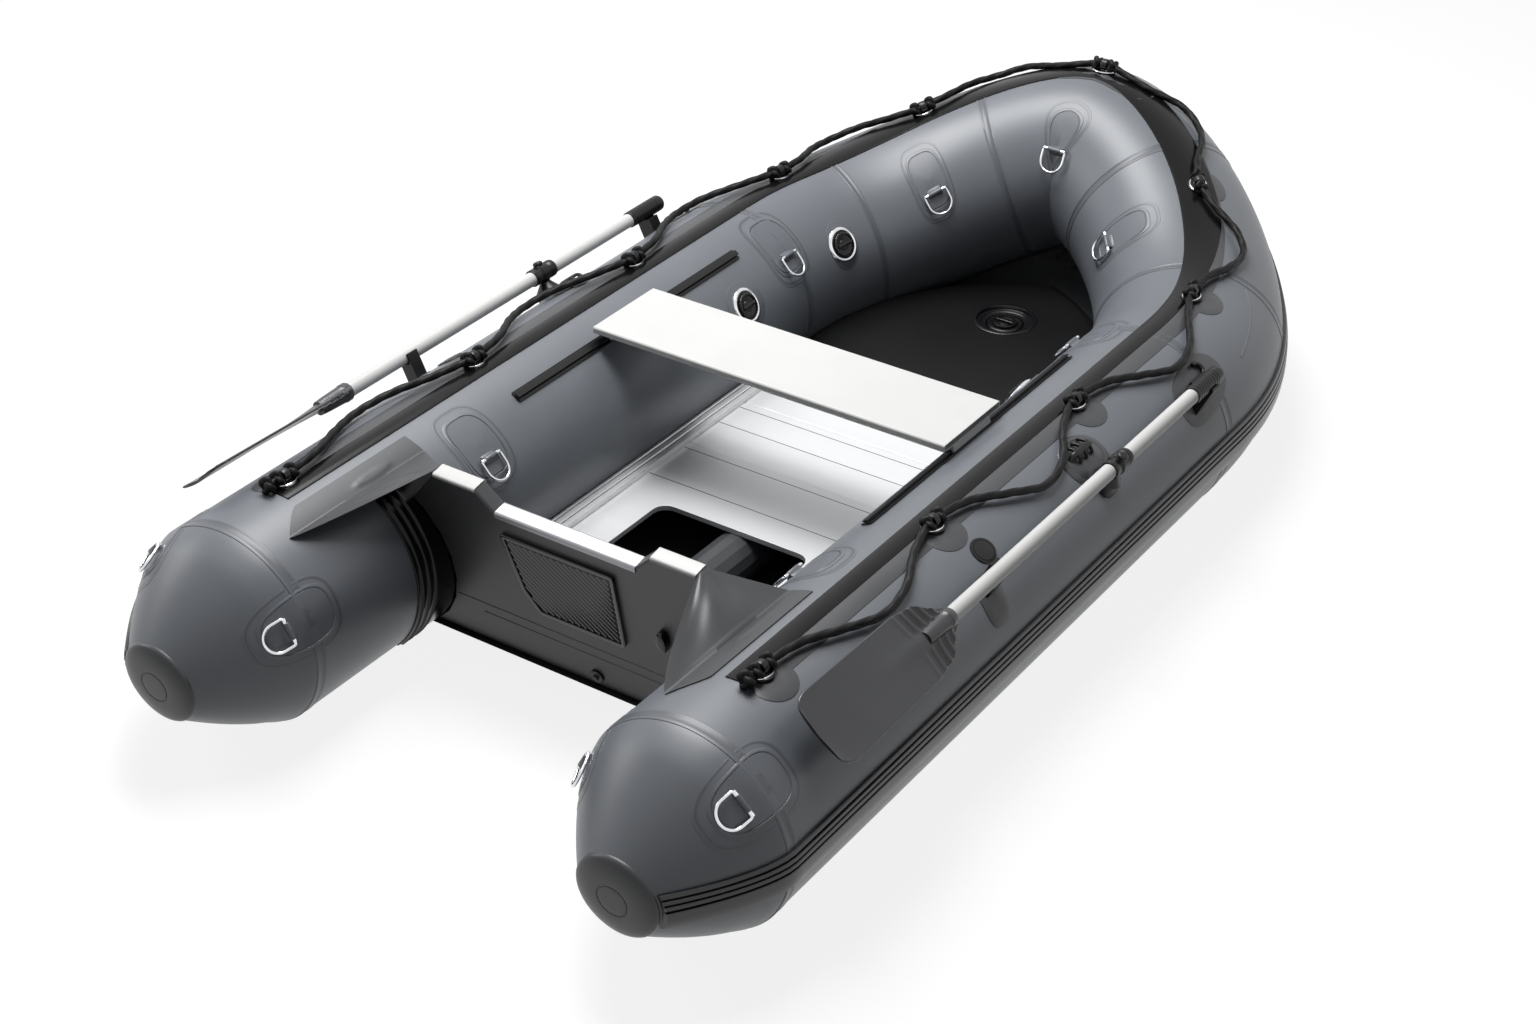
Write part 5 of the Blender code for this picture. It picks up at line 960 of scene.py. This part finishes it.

# %% [markdown]
# ### The floor's skirt and lines
# A dark skirt fills the gap round the bow board. Thin dark bars mark the joints pressed into the
# floor panels, and bars along the stringers' edges paint shade into their grooves.

# %% Skirt and floor lines
SKIRT_SCALE, SKIRT_SHIFT = (1.06, 1.06, 0.08, 1), (0, -0.036, 0.1147)
JOINTS, JOINT_HALF, JOINT_REACH = (-0.224, -0.098, 0.030, 0.108, 0.195), 0.0009, 0.277
JOINT_LOW, JOINT_HIGH = 0.1376, 0.1382
EDGES, EDGE_HALF, EDGE_AFT, EDGE_FORE = (-0.3127, -0.295, 0.295, 0.3127), 0.0022, -0.7614, 0.2949
EDGE_LOW, EDGE_HIGH = 0.1470, 0.1490


def bar(low, high):
    """A straight bar along X between two opposite corners."""
    ends = [[(x, low[1], low[2]), (x, high[1], low[2]), (x, high[1], high[2]), (x, low[1], high[2])]
            for x in (low[0], high[0])]
    return shell(ends)


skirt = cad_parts["bow_board"].data.copy()
skirt.transform(Matrix.Translation(SKIRT_SHIFT) @ Matrix.Diagonal(SKIRT_SCALE))
skirt.materials.clear()
skirt.materials.append(BOARD)
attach(shown("bow_skirt", skirt), "hull")
lines = [bar((-JOINT_REACH, y - JOINT_HALF, JOINT_LOW), (JOINT_REACH, y + JOINT_HALF, JOINT_HIGH))
         for y in JOINTS]
# bars in the stringers' grooves: painted shade
lines += [bar((x - EDGE_HALF, EDGE_AFT, EDGE_LOW), (x + EDGE_HALF, EDGE_FORE, EDGE_HIGH)) for x in EDGES]
piece("floor_lines", lines, MOULDED)
print("floor lines:", len(lines))

# %% [markdown]
# ## The transom
# The board is covered in cloth and stands at a rake. All its details are laid out in the board's own
# frame: X across, Y up the board, Z straight off its aft face. A metal channel caps the notch, white
# caps cover the shoulders, a ribbed plate takes the motor's clamps, and two tapes cross the foot.

# %% The board's frame and its edge
RAKE, FOOT, FOOT_HEIGHT, BOARD_THICKNESS = math.radians(10.5), 0.622, 0.0445, 0.030
SHOULDER_HEIGHT, SHOULDER_OUTER, SHOULDER_INNER = 0.4447, 0.304, 0.204
NOTCH_HEIGHT, NOTCH_HALF = 0.4055, 0.162
CHANNEL_BEND, CHANNEL_FOOT = 0.0055, 0.0006
ACROSS, UP_WAY = Vector((1, 0, 0)), Vector((0, -math.sin(RAKE), math.cos(RAKE)))
TRANSOM = standing((0, FOOT - HALF_LENGTH, FOOT_HEIGHT), ACROSS, UP_WAY, ACROSS.cross(UP_WAY))


def up_board(height):
    """Distance up the raked board for a height above the ground."""
    return (height - FOOT_HEIGHT) / math.cos(RAKE)


def channel(name, line, over, lip, look, **more):
    """A folded channel carried along the board's edge: its section is a flat top with two lips."""
    low, high, foot = -BOARD_THICKNESS - over, over, CHANNEL_FOOT
    turn = np.radians(np.linspace(0, 90, 6))
    side_z = high - CHANNEL_BEND + CHANNEL_BEND * np.cos(turn)
    side_y = over - CHANNEL_BEND + CHANNEL_BEND * np.sin(turn)
    across = np.concatenate([[high - foot, high], side_z, (low + high) - side_z[::-1], [low, low + foot]])
    rise = np.concatenate([[-lip, -lip + foot], side_y, side_y[::-1], [-lip + foot, -lip]])
    line = np.asarray(line, float)
    way = unit(np.gradient(line, axis=0))
    grid = joined(line[:, :1] - way[:, 1:] * rise, line[:, 1:] + way[:, :1] * rise, across)
    return piece(name, [shell(moved(TRANSOM, grid))], look, **more)


notch_y, shoulder_y = up_board(NOTCH_HEIGHT), up_board(SHOULDER_HEIGHT)
NOTCH_ENDS = ((-1, 0.001), (-1, -0.004), (1, -0.004), (1, 0.001))
CAP_PLACES = (SHOULDER_INNER - 0.001, SHOULDER_INNER + 0.004, 0.25, SHOULDER_OUTER)
notch_line = [(side * (NOTCH_HALF + more), notch_y) for side, more in NOTCH_ENDS]
channel("notch_channel", notch_line, 0.0032, 0.010, CHANNEL, stands_for="transom_trim")
share = np.linspace(0, 1, 8)[:, None]
for side, label in SIDES:
    ends = np.array([(side * (NOTCH_HALF + 0.002), notch_y + 0.001),
                     (side * (SHOULDER_INNER - 0.001), shoulder_y - 0.001)])
    slope = ends[0] * (1 - share) + ends[1] * share
    channel("slope_channel_" + label, slope[::side], 0.0020, 0.007, BOARD_CLOTH)
    top = [(side * x, shoulder_y) for x in CAP_PLACES]
    channel("shoulder_cap_" + label, top[::side], 0.0034, 0.004, WHITE)
print("board height:", round(shoulder_y, 3))

# %% [markdown]
# ### Tapes, fitting and plug
# Two low welts cross the foot of the board. An oval moulded fitting sits on its starboard shoulder,
# and a rubber plug with its own body closes the drain hole.

# %% Tapes, fitting and plug
FOOT_TAPES, WELT_WIDTH, WELT_RISE, WELT_SINK = ((0.143, 0.312), (0.119, 0.252)), 0.004, 0.0014, 0.0004
FITTING_X, FITTING_HEIGHT, FITTING_WIDE, FITTING_TALL = 0.203, 0.246, 0.012, 0.026
FITTING = ((1, 0.0003), (1, 0.008), (0.96, 0.0115), (0.84, 0.0145), (0.6, 0.0158),
           (0.3, 0.0160), (0.02, 0.0160))
DRAIN_X, DRAIN_HEIGHT = 0.015, 0.068
BUNG = ((0.0, -0.029), (0.0098, -0.029), (0.0102, -0.0285), (0.0102, 0.0007), (0.0148, 0.0007),
        (0.0150, 0.0014), (0.0150, 0.0040), (0.0140, 0.0050), (0.0066, 0.0052), (0.0060, 0.0060),
        (0.0058, 0.0092), (0.0050, 0.0100), (0.0, 0.0100))
turn = np.linspace(0, math.pi, 9)
for number, (height, reach) in enumerate(FOOT_TAPES):
    grid = joined(np.linspace(-reach, reach, 24)[:, None], up_board(height) + np.cos(turn) * WELT_WIDTH / 2,
                  np.sin(turn) * WELT_RISE - WELT_SINK)
    piece(f"foot_tape_{number}", [shell(moved(TRANSOM, grid))], CHARCOAL)
turn = circle(48)
share, out = np.array(FITTING).T[..., None]
oval = joined(FITTING_X + share * FITTING_WIDE * np.cos(turn),
              up_board(FITTING_HEIGHT) + share * FITTING_TALL * np.sin(turn), out)
piece("side_fitting", [shell(moved(TRANSOM, oval))], PLASTIC, stands_for="transom_fitting")
stand = TRANSOM @ Matrix.Translation((DRAIN_X, up_board(DRAIN_HEIGHT), 0))
bung = piece("drain_bung", [turned(BUNG, stand, 40)], MOULDED, body="drain", stands_for="drain_plug")
print("points across the plug:", len(BUNG))

# %% [markdown]
# ## The motor plate
# The plate is a moulded slab with a raised frame and slanting ribs that stop the clamps slipping.
# Its outline is convex, so each rib is a straight line cut by the outline's half planes: the part of
# the line that lies inside all of them is what stays.

# %% Outlines on the board
SHORTEST_RIB, SMALLEST_CORNER = 0.012, 0.001


def left_of(ways):
    """Each flat vector turned a quarter to the left."""
    return np.stack([-ways[..., 1], ways[..., 0]], -1)


def inset(outline, amount):
    """The outline moved inwards: each corner slides to where its two moved sides meet."""
    before = left_of(unit(outline - np.roll(outline, 1, 0)))
    middle = before + left_of(unit(np.roll(outline, -1, 0) - outline))
    return outline + middle / (middle * before).sum(1, keepdims=True) * amount


def rounded_outline(outline, radius, steps=6):
    """Each corner becomes a quadratic curve between two points a radius away from it."""
    start, end = (outline + unit(np.roll(outline, step, 0) - outline) * radius for step in (1, -1))
    t = np.linspace(0, 1, steps)[None, :, None]
    curve = (1 - t) ** 2 * start[:, None] + 2 * t * (1 - t) * outline[:, None] + t ** 2 * end[:, None]
    return curve.reshape(-1, 2)


def slab(levels, outline, corner, face):
    """Rings of an outline: each level has an inset and a height off the face, and side -1 looks forward."""
    rings = []
    for amount, height in levels:
        ring = rounded_outline(inset(outline, amount), max(corner - amount, SMALLEST_CORNER))
        rings.append(joined(ring[:, 0], ring[:, 1], height * face + min(face, 0) * BOARD_THICKNESS))
    return shell(moved(TRANSOM, rings))


def clipped(middle, way, outline):
    """The two ends of the line through a point that stay inside a convex outline, or None."""
    normals = left_of(np.roll(outline, -1, 0) - outline)
    offset, speed = ((middle - outline) * normals).sum(1), normals @ way
    reach = -offset / np.where(np.abs(speed) < ROUNDING, ROUNDING, speed)
    low, high = reach[speed > 0].max(), reach[speed < 0].min()
    return (low, high) if high - low > SHORTEST_RIB else None


print("outline tools ready")

# %% [markdown]
# ### Plates and ribs
# The outer plate has a frame and ribs. The plain inner plate lies on the board's forward face.

# %% Motor plates
PLATE_TOP, PLATE_LOW, PLATE_CORNER = up_board(0.362), up_board(0.186), up_board(0.235)
PLATE = np.array([(-0.158, PLATE_TOP), (-0.128, PLATE_CORNER), (-0.094, PLATE_LOW), (0.108, PLATE_LOW),
                  (0.108, PLATE_TOP)])
PLATE_ROUND, FRAME_WIDTH = 0.010, 0.0112
PLATE_LEVELS = ((0, 0.0002), (0, 0.0066), (0.0006, 0.0076), (0.002, 0.0080), (0.0065, 0.0080),
                (0.0078, 0.0074), (0.0082, 0.0046), (0.03, 0.0046), (0.08, 0.0046))
INNER = np.array([(-0.12, PLATE_TOP), (-0.12, PLATE_LOW), (0.12, PLATE_LOW), (0.12, PLATE_TOP)])
INNER_LEVELS = ((0, 0.0002), (0, 0.0032), (0.001, 0.0040), (0.006, 0.0040), (0.0075, 0.0032),
                (0.03, 0.0032), (0.08, 0.0032))
RIB_SLANT, RIB_PITCH, RIB_HALF, RIB_EASE = math.radians(-40), 0.0100, 0.0036, 0.002
RIB_FOOT, RIB_END, RIB_TOP, RIB_CREST = 0.0044, 0.0050, 0.0078, 0.45

grids = [slab(PLATE_LEVELS, PLATE, PLATE_ROUND, 1)]
rib_way = np.array([math.cos(RIB_SLANT), math.sin(RIB_SLANT)])
rib_side = left_of(rib_way)
field = inset(PLATE, FRAME_WIDTH)
for step in range(-20, 21):
    middle = PLATE.mean(0) + rib_side * step * RIB_PITCH
    ends = clipped(middle, rib_way, field)
    if ends:
        low, high = (middle + rib_way * end for end in ends)
        spots = ((low, RIB_END), (low + rib_way * RIB_EASE, RIB_TOP), (high - rib_way * RIB_EASE, RIB_TOP),
                 (high, RIB_END))
        rings = []
        for spot, tall in spots:
            levels = ((-1, RIB_FOOT), (-RIB_CREST, tall), (RIB_CREST, tall), (1, RIB_FOOT))
            rings.append([(*(spot + rib_side * RIB_HALF * out), height) for out, height in levels])
        grids.append(shell(moved(TRANSOM, rings)))
piece("motor_plate", grids, RIBBED, stands_for="motor_pad_outer", sharp=30)
piece("inner_plate", [slab(INNER_LEVELS, INNER, PLATE_ROUND, -1)], MOULDED,
      stands_for="motor_pad_inner", sharp=30)
print("ribs on the motor plate:", len(grids) - 1)

# %% [markdown]
# ## Collars and gussets
# Where the board meets a tube, a ribbed rubber collar is glued round the tube, and a cloth gusset
# runs from the tube's shoulder to the board's. The gusset leaves the tube along a crease and is a
# little slack, so waves run along it. Both are grids over the tube's own run and angle.

# %% Collars
COLLAR_LOW, COLLAR_HIGH, COLLAR_EASE, COLLAR_SINK = 117.5, 229, 1.2, 0.001
COLLAR_RIB = (0.0030, 0.0042, 0.0070, 0.0042, 0.0030)
run_line = np.array([0.4895, 0.4900, 0.4915, 0.4965, 0.4990, 0.5010, 0.5030, 0.5055, 0.5150, 0.5178, 0.5200,
                     0.5222, 0.5250, 0.5345, 0.5370, 0.5390, 0.5410, 0.5438, 0.552, 0.60, 0.6385, 0.6400,
                     0.6405])
rise = np.array([-COLLAR_SINK, 0.0016, 0.0028, *COLLAR_RIB * 3, 0.0030, 0.0030, 0.0028, 0.0014, -COLLAR_SINK])
degrees = np.linspace(COLLAR_LOW, COLLAR_HIGH, 64)
edge = np.clip(np.minimum(degrees - COLLAR_LOW, COLLAR_HIGH - degrees) / COLLAR_EASE, 0, 1)[:, None]
for side, label in SIDES:
    grid = skin(run_line[None], degrees[:, None], (rise[None] + COLLAR_SINK) * edge - COLLAR_SINK, side)
    # the collar's black is partly its rubber and partly painted shade in the corner behind the board
    piece("collar_" + label, [shell(grid)], BLACK_BAND, stands_for="transom_collar_" + label, sharp=30)
print("points along a collar:", len(run_line))

# %% [markdown]
# ### Gussets
# The first part of a gusset, up to its crease, lies on the tube. The rest spans freely to the board's
# shoulder. Two waves, the crease and a welt round a pocket are added to the height of its upper side.

# %% Gussets
FLAP_AFT, FLAP_FORE, FLAP_LOW, FLAP_HIGH, FLAP_TIP = 0.285, 0.665, 103, 117, 0.3515
FLAP_CREASE, FLAP_THICKNESS, FLAP_LIFT, FLAP_MARGIN = 0.4, 0.0022, 0.0024, 0.004
tip = TRANSOM @ Vector((0, shoulder_y, -BOARD_THICKNESS / 2))
tip_place = tip.y + HALF_LENGTH
u = np.concatenate([np.linspace(0, FLAP_CREASE, 14), np.linspace(FLAP_CREASE, 1, 30)[1:]])[:, None]
v = np.linspace(0, 1, 64)[None, :]
on_tube, free = np.clip(u / FLAP_CREASE, 0, 1), np.clip((u - FLAP_CREASE) / (1 - FLAP_CREASE), 0, 1)
aft = np.where(u < FLAP_CREASE, FLAP_TIP + (FLAP_AFT - FLAP_TIP) * on_tube ** 0.8,
               FLAP_AFT + (tip_place - 0.013 - FLAP_AFT) * free ** 1.25)
fore = FLAP_FORE - FLAP_MARGIN + (tip_place + 0.010 - FLAP_FORE + FLAP_MARGIN) * free
place = aft + (fore - aft) * v
slack = np.sin(math.pi * free) * np.clip(np.sin(math.pi * v), 0, 1)
waves = 0.0050 * np.sin(9 * v + 3 * u + 1.2) * slack + 0.0018 * np.sin(17 * v - 11 * u) * slack * free
along_crease = np.clip(np.sin(math.pi * np.clip(v * 1.25 - 0.15, 0, 1)), 0, 1)
crease = 0.0022 * np.exp(-((u - 0.42) / 0.012) ** 2) * along_crease
pocket = 0.0014 * np.exp(-7 * np.maximum(0, ((u - 0.27) / 0.085) ** 2 + ((v - 0.63) / 0.17) ** 2 - 0.6))
for side, label in SIDES:
    base = skin(place, FLAP_LOW + (FLAP_HIGH - FLAP_LOW) * on_tube, FLAP_LIFT, side)
    end = joined(side * (SHOULDER_OUTER + 0.003), place - HALF_LENGTH, tip.z + 0.0026)
    surface = base * (1 - free[..., None]) + end * free[..., None]
    normal = np.array([-side * 0.35, 0, 0.94])
    top = surface + (waves + crease + pocket)[..., None] * normal
    under = surface + waves[..., None] * normal * 0.8 - normal * FLAP_THICKNESS
    piece("gusset_" + label, [shell(np.concatenate([top, under[:, ::-1]], 1))], GUSSET,
          stands_for="transom_flap_" + label, sharp=60)
print("gusset tip above the ground:", round(tip.z, 3))

# %% [markdown]
# ## The keel valve's recess
# The bow board has a round hole over the keel's valve. A dished black ring lines it, with a raised
# lip on top and two steps inside, so the valve sits below the deck.

# %% Keel recess
RECESS = ((0.0690, 0.1265), (0.0690, 0.1378), (0.0745, 0.1382), (0.0750, 0.1392), (0.0735, 0.1402),
          (0.0665, 0.1400), (0.0655, 0.1388), (0.0640, 0.1318), (0.0585, 0.1306), (0.0578, 0.1290),
          (0.0560, 0.1276), (0.0440, 0.1272), (0.0440, 0.1265))
stand = Matrix.Translation((0, KEEL_VALVE - HALF_LENGTH, 0))
piece("keel_recess", [turned(RECESS, stand, 80)], PLASTIC)
print("recess radius:", max(RECESS)[0])

# %% [markdown]
# ## Oars
# Each oar lies along the tube's shoulder on its pin and in two cradles. In the oar's frame, Y runs
# along the pin and Z forward along the oar. The blade is a moulded paddle: a rounded outline that is
# thicker along its middle, with ribs that fan out from its neck.

# %% Blades
PIN_PLACE, OAR_ANGLE, OAR_PLANE = 1.375, math.radians(46), math.radians(64)
OAR_STANDOFF, BLADE_TILT = 0.053, 13
BLADE_AFT, BLADE_NECK, SHAFT_AFT, SHAFT_FORE, GRIP_PLACE, SHAFT_RADIUS = 0.33, 0.75, 0.66, 1.80, 1.69, 0.0155


def oar_frame(side):
    """Origin where the oar crosses its pin: Y along the pin, Z to the bow."""
    reach = TUBE_RADIUS + OAR_STANDOFF
    spot = Vector((side * (HALF_SPACING + reach * math.cos(OAR_ANGLE)), PIN_PLACE - HALF_LENGTH,
                   TUBE_RADIUS + reach * math.sin(OAR_ANGLE)))
    pin, bow = Vector((side * math.cos(OAR_PLANE), 0, math.sin(OAR_PLANE))), Vector((0, 1, 0))
    return standing(spot, pin.cross(bow), pin, bow)


def blade_half(share):
    """Half width of the blade from its tip at 0 to its neck at 1: a round end, parallel sides, a taper."""
    tip = np.sqrt(np.clip(1 - (1 - np.clip(share / 0.09, 0, 1)) ** 2, 0, 1))
    body = np.interp(share, [0, 0.1, 0.72, 0.86, 0.95, 1.0], [1.0, 1.0, 0.96, 0.83, 0.42, 0.27])
    return (0.050 + 0.022 * tip) * body


def blade(side, stand):
    """Top and bottom sheets whose thickness falls from the spine to a thin rim, closed round the outline."""
    share = np.concatenate([[0], np.linspace(0.003, 0.09, 14), np.linspace(0.11, 0.68, 24),
                            np.linspace(0.69, 1, 70)])[:, None]
    x = np.sin(np.linspace(-math.pi / 2, math.pi / 2, 31))[None, :]
    half = blade_half(share)
    along = BLADE_AFT + (BLADE_NECK - BLADE_AFT) * share - PIN_PLACE
    spine = 0.0135 * np.clip((share - 0.35) / 0.65, 0, 1) ** 1.5 * np.exp(-(x * half / 0.016) ** 2)
    near = np.clip((share - 0.70) / 0.12, 0, 1) * np.clip((0.965 - share) / 0.03, 0, 1)
    ribbed = near * (np.abs(x * half) > 0.017)
    crest = np.clip(np.cos(share * 118 + np.abs(x) * 2.6), 0, 1) ** 0.6
    # the hollows between the ribs get painted shade
    painted_shade = ribbed * (1 - crest)
    rim = 0.0016 * np.exp(-((1 - np.abs(x)) * half / 0.004) ** 2) * (share > 0.02)
    thick = (0.0026 + spine + 0.0042 * ribbed * crest + rim) * np.sqrt(np.clip(1 - np.abs(x) ** 24, 0, 1))
    camber = 0.006 * (x ** 2) * np.clip((0.9 - share) / 0.9, 0, 1)
    top, low = (joined(x * half, camber + thick * way, along) for way in (1, -0.8))
    grid = np.concatenate([top, low[:, ::-1][:, 1:-1]], 1)
    tilted = stand @ Matrix.Rotation(side * math.radians(BLADE_TILT), 4, "Z")
    return shell(moved(tilted, grid), values=np.concatenate([painted_shade, painted_shade[:, ::-1][:, 1:-1]], 1))


print("blade length:", round(BLADE_NECK - BLADE_AFT, 3))

# %% [markdown]
# ### Shafts, sockets and grips
# A white tube runs from the blade to the grip. It tapers at its aft end, hidden in the blade's socket.
# A moulded collar turns on the pin, and rings round the grip keep the hand from slipping.

# %% Shafts, sockets and grips
SOCKET = ((0.0150, -0.085), (0.0165, -0.07), (0.0182, -0.03), (0.0186, -0.016), (0.0198, -0.014),
          (0.0198, -0.002), (0.0188, 0), (0.0150, 0))
PIN_COLLAR = mirrored(((0.0160, 0.034), (0.0186, 0.0335), (0.0190, 0.032), (0.0190, 0.020),
                       (0.0180, 0.0185), (0.0180, 0.010), (0.0205, 0.008)))
GRIP_RINGS, GRIP_PITCH, GRIP_RADIUS, GRIP_GROOVE = 9, 0.0095, 0.0184, 0.0175
GRIP_OPEN = ((0.0157, 0), (0.0176, 0.0006), (GRIP_RADIUS, 0.003))
GRIP_RING = ((GRIP_RADIUS, -0.0024), (GRIP_GROOVE, -0.0016), (GRIP_GROOVE, 0.0016), (GRIP_RADIUS, 0.0024))
GRIP_CLOSED = ((GRIP_RADIUS, -0.004), (0.0180, 0.001), (0.0160, 0.0048), (0.0120, 0.0060), (0.0, 0.0063))


def shifted(profile, place):
    """A profile moved along its axis."""
    return [(radius, place + height) for radius, height in profile]


for side, label in SIDES:
    stand, body = oar_frame(side), "oar_" + label
    places = (SHAFT_AFT, BLADE_NECK - 0.006, SHAFT_FORE, GRIP_PLACE)
    aft_end, neck, fore_end, open_end = (place - PIN_PLACE for place in places)
    tube = ((0.0, aft_end + 0.001), (0.008, aft_end), (SHAFT_RADIUS - 0.003, neck), (SHAFT_RADIUS, neck),
            (SHAFT_RADIUS, fore_end), (0.0, fore_end))
    made = piece("shaft_" + label, [turned(tube, stand, 40)], WHITE, body=body,
                 stands_for="oar_shaft_" + label)
    socket = turned(shifted(SOCKET, BLADE_NECK - PIN_PLACE), stand, 40)
    made = piece("paddle_" + label, [blade(side, stand), socket], BLADE, body=body,
                 stands_for="oar_blade_" + label, sharp=30)
    piece("pin_collar_" + label, [turned(PIN_COLLAR, stand, 40)], MOULDED, body=body)
    turns = shifted(GRIP_OPEN, open_end)
    for number in range(GRIP_RINGS):
        turns += shifted(GRIP_RING, open_end + 0.012 + number * GRIP_PITCH)
    turns += shifted(GRIP_CLOSED, fore_end)
    made = piece("hand_grip_" + label, [turned(turns, stand, 40)], MOULDED, body=body,
                 stands_for="oar_grip_" + label)
print("rings on a grip:", GRIP_RINGS)

# %% [markdown]
# ## What holds the oars
# The pin stands on a moulded block, on a round patch with a carrying handle beside it. The cradles
# are moulded clips on cloth patches, and the forward patch also has a hook that the grip is tied to.

# %% Rowlocks, cradles and their patches
ROUND_PATCH = (RIM, (0.985, 0.0012), (0.95, 0.0024), (0.80, 0.0028), (0.78, 0.0018), (0.76, 0.0018),
               (0.74, 0.0028), (0.4, 0.0034), (0.02, 0.0036))
HANDLE_HALF, HANDLE_RISE, HANDLE_WIRE, HANDLE_ANGLE = 0.040, 0.016, 0.0065, 62
STRAPS, STRAP_WIRE, STRAP_LOW, STRAP_HIGH = (-0.022, 0.0, 0.022), 0.0035, 57, 68
AFT_CRADLE, HOOK_AFT, HOOK_FORE, HOOK_ANGLE = 0.93, 1.775, 1.825, 49.0
HOOK_RADIUS, HOOK_LIFT, HOOK_WIRE = 0.014, 0.007, 0.0048
PATCHES = (("pin_patch", PIN_PLACE, 57, (0.068, 0.058), ROUND_PATCH, 2.1, 0.0, CHARCOAL),
           ("cradle_patch_aft", AFT_CRADLE, 35, (0.036, 0.052), PLAIN, 3, 0.0, CHARCOAL),
           ("round_patch", 0.985, 57, (0.030, 0.028), ROUND_PATCH, 2, 0.0, MOULDED),
           ("cradle_patch_fore", 1.80, 44, (0.100, 0.060), PLAIN, 2.6, 12, CHARCOAL))


def handle(side):
    """A strap handle: a flat bar that rises in an arch along the tube, and three straps under it."""
    share, along = np.linspace(-1, 1, 41), np.linspace(0.1, math.pi - 0.1, 9)
    off = np.array(flat_frame(PIN_PLACE, HANDLE_ANGLE, side))[:3, 2]
    line = skin(PIN_PLACE + HANDLE_HALF * share, HANDLE_ANGLE, HANDLE_RISE * (1 - share ** 6), side)
    grids = [swept(line, HANDLE_WIRE, 14, squash=0.55, hint=off)]
    for shift in STRAPS:
        rise = 0.004 + 0.012 * np.sin(along)
        strap = skin(PIN_PLACE + shift, np.linspace(STRAP_LOW, STRAP_HIGH, 9), rise, side)
        grids.append(swept(strap, STRAP_WIRE, 10, hint=(0, 1, 0)))
    return grids


for side, label in SIDES:
    block = softened("pin_block_" + label, "rowlock_" + label, MOULDED, 0.0012, angle=35)
    piece("carry_handle_" + label, handle(side), MOULDED)
    for spot in ("aft", "fore"):
        made = softened(f"cradle_{spot}_{label}", f"oar_rest_{spot}_{label}", MOULDED, 0.0014, angle=35)
    for name, run, degrees, size, rings, power, turn, look in PATCHES:
        piece(f"{name}_{label}", [patch(run, degrees, size, side, rings, power, turn)], look)
    turn = np.radians(np.linspace(-20, 200, 24))
    bend = np.degrees(HOOK_RADIUS * (1 - np.cos(turn)) / SKIN_RADIUS)
    hook_run = np.concatenate([np.linspace(HOOK_AFT, HOOK_FORE, 12), HOOK_FORE + HOOK_RADIUS * np.sin(turn)])
    hook_angle = np.concatenate([np.full(12, HOOK_ANGLE), HOOK_ANGLE + bend])
    off = np.array(flat_frame(1.80, 47, side))[:3, 2]
    hook = swept(skin(hook_run, hook_angle, HOOK_LIFT, side), HOOK_WIRE, hint=off)
    piece("grip_hook_" + label, [hook], MOULDED)
print("patches under each oar:", len(PATCHES))

# %% [markdown]
# ## Floor, light and background
# The boat lies in a white studio. The floor is a large pale sheet that catches a soft shadow. The
# world is pure white where the camera, a mirror or glass looks at it, and dimmer where it lights the
# boat, so that dark cloth keeps its shape.

# %% Floor
FLOOR_HALF, FLOOR_DROP, FLOOR_ROUGHNESS = 40, 0.001, 0.9
FLOOR_TONES, FLOOR_GLOW, WORLD_LIGHT = (0.16, 0.22), (0.0, 0.85), (0.06, 1.0)


def seen_or_lit(tree, when_lighting, when_seen):
    """A value that changes where the camera, a mirror or glass looks at the background."""
    looked_at = add_node(tree, "LightPath", "Is Camera Ray")
    rays = looked_at.node.outputs
    for ray in ("Is Glossy Ray", "Is Transmission Ray"):
        either = add_node(tree, "Math", "Value", [("operation", "MAXIMUM")])
        tree.links.new(looked_at, either.node.inputs[0])
        tree.links.new(rays[ray], either.node.inputs[1])
        looked_at = either
    return add_node(tree, "MapRange", "Result", To_Min=when_lighting, To_Max=when_seen, Value=looked_at)


floor_look = bpy.data.materials.new("studio_floor")
floor_look.use_nodes = True
tree = floor_look.node_tree
feed(tree, tree.nodes["Principled BSDF"], Roughness=FLOOR_ROUGHNESS, Specular_IOR_Level=0.0,
     Emission_Color=(1, 1, 1, 1), Base_Color=seen_or_lit(tree, *FLOOR_TONES),
     Emission_Strength=seen_or_lit(tree, *FLOOR_GLOW))
mesh = bpy.data.meshes.new("studio_floor")
mesh.from_pydata([(x * FLOOR_HALF, y * FLOOR_HALF, 0) for x, y in ((-1, -1), (1, -1), (1, 1), (-1, 1))], [],
                 [(0, 1, 2, 3)])
mesh.materials.append(floor_look)
floor = shown("studio_floor", mesh)
floor.location = (0, 0, -FLOOR_DROP)
print("floor width:", 2 * FLOOR_HALF)

# %% [markdown]
# ### World and lamps
# One large lamp overhead gives the long soft highlights. Two weaker ones at the sides lift the dark
# walls a little.

# %% World and lamps
LAMPS = (("overhead", (-1.0, 0.5, 4.1), (0, 0.1, 0), (1.5, 3.2), 226),
         ("left_wall", (-3.6, -1.6, 2.2), (0, -0.6, 0.3), (1.6, 1.6), 30),
         ("right_wall", (3.8, 0.8, 2.2), (0.2, 0, 0.2), (1.6, 1.6), 4))
world = bpy.data.worlds.new("studio")
world.use_nodes = True
bpy.context.scene.world = world
tree = world.node_tree
feed(tree, tree.nodes["Background"], Color=(1, 1, 1, 1), Strength=seen_or_lit(tree, *WORLD_LIGHT))
for name, place, aim, size, power in LAMPS:
    data = bpy.data.lights.new(name, "AREA")
    data.shape = "RECTANGLE"
    data.size, data.size_y = size
    data.energy = power
    lamp = shown(name, data)
    lamp.location = place
    lamp.rotation_euler = (Vector(aim) - Vector(place)).to_track_quat("-Z", "Y").to_euler()
bpy.context.scene.view_settings.view_transform = "Standard"
print("lamps:", len(LAMPS))
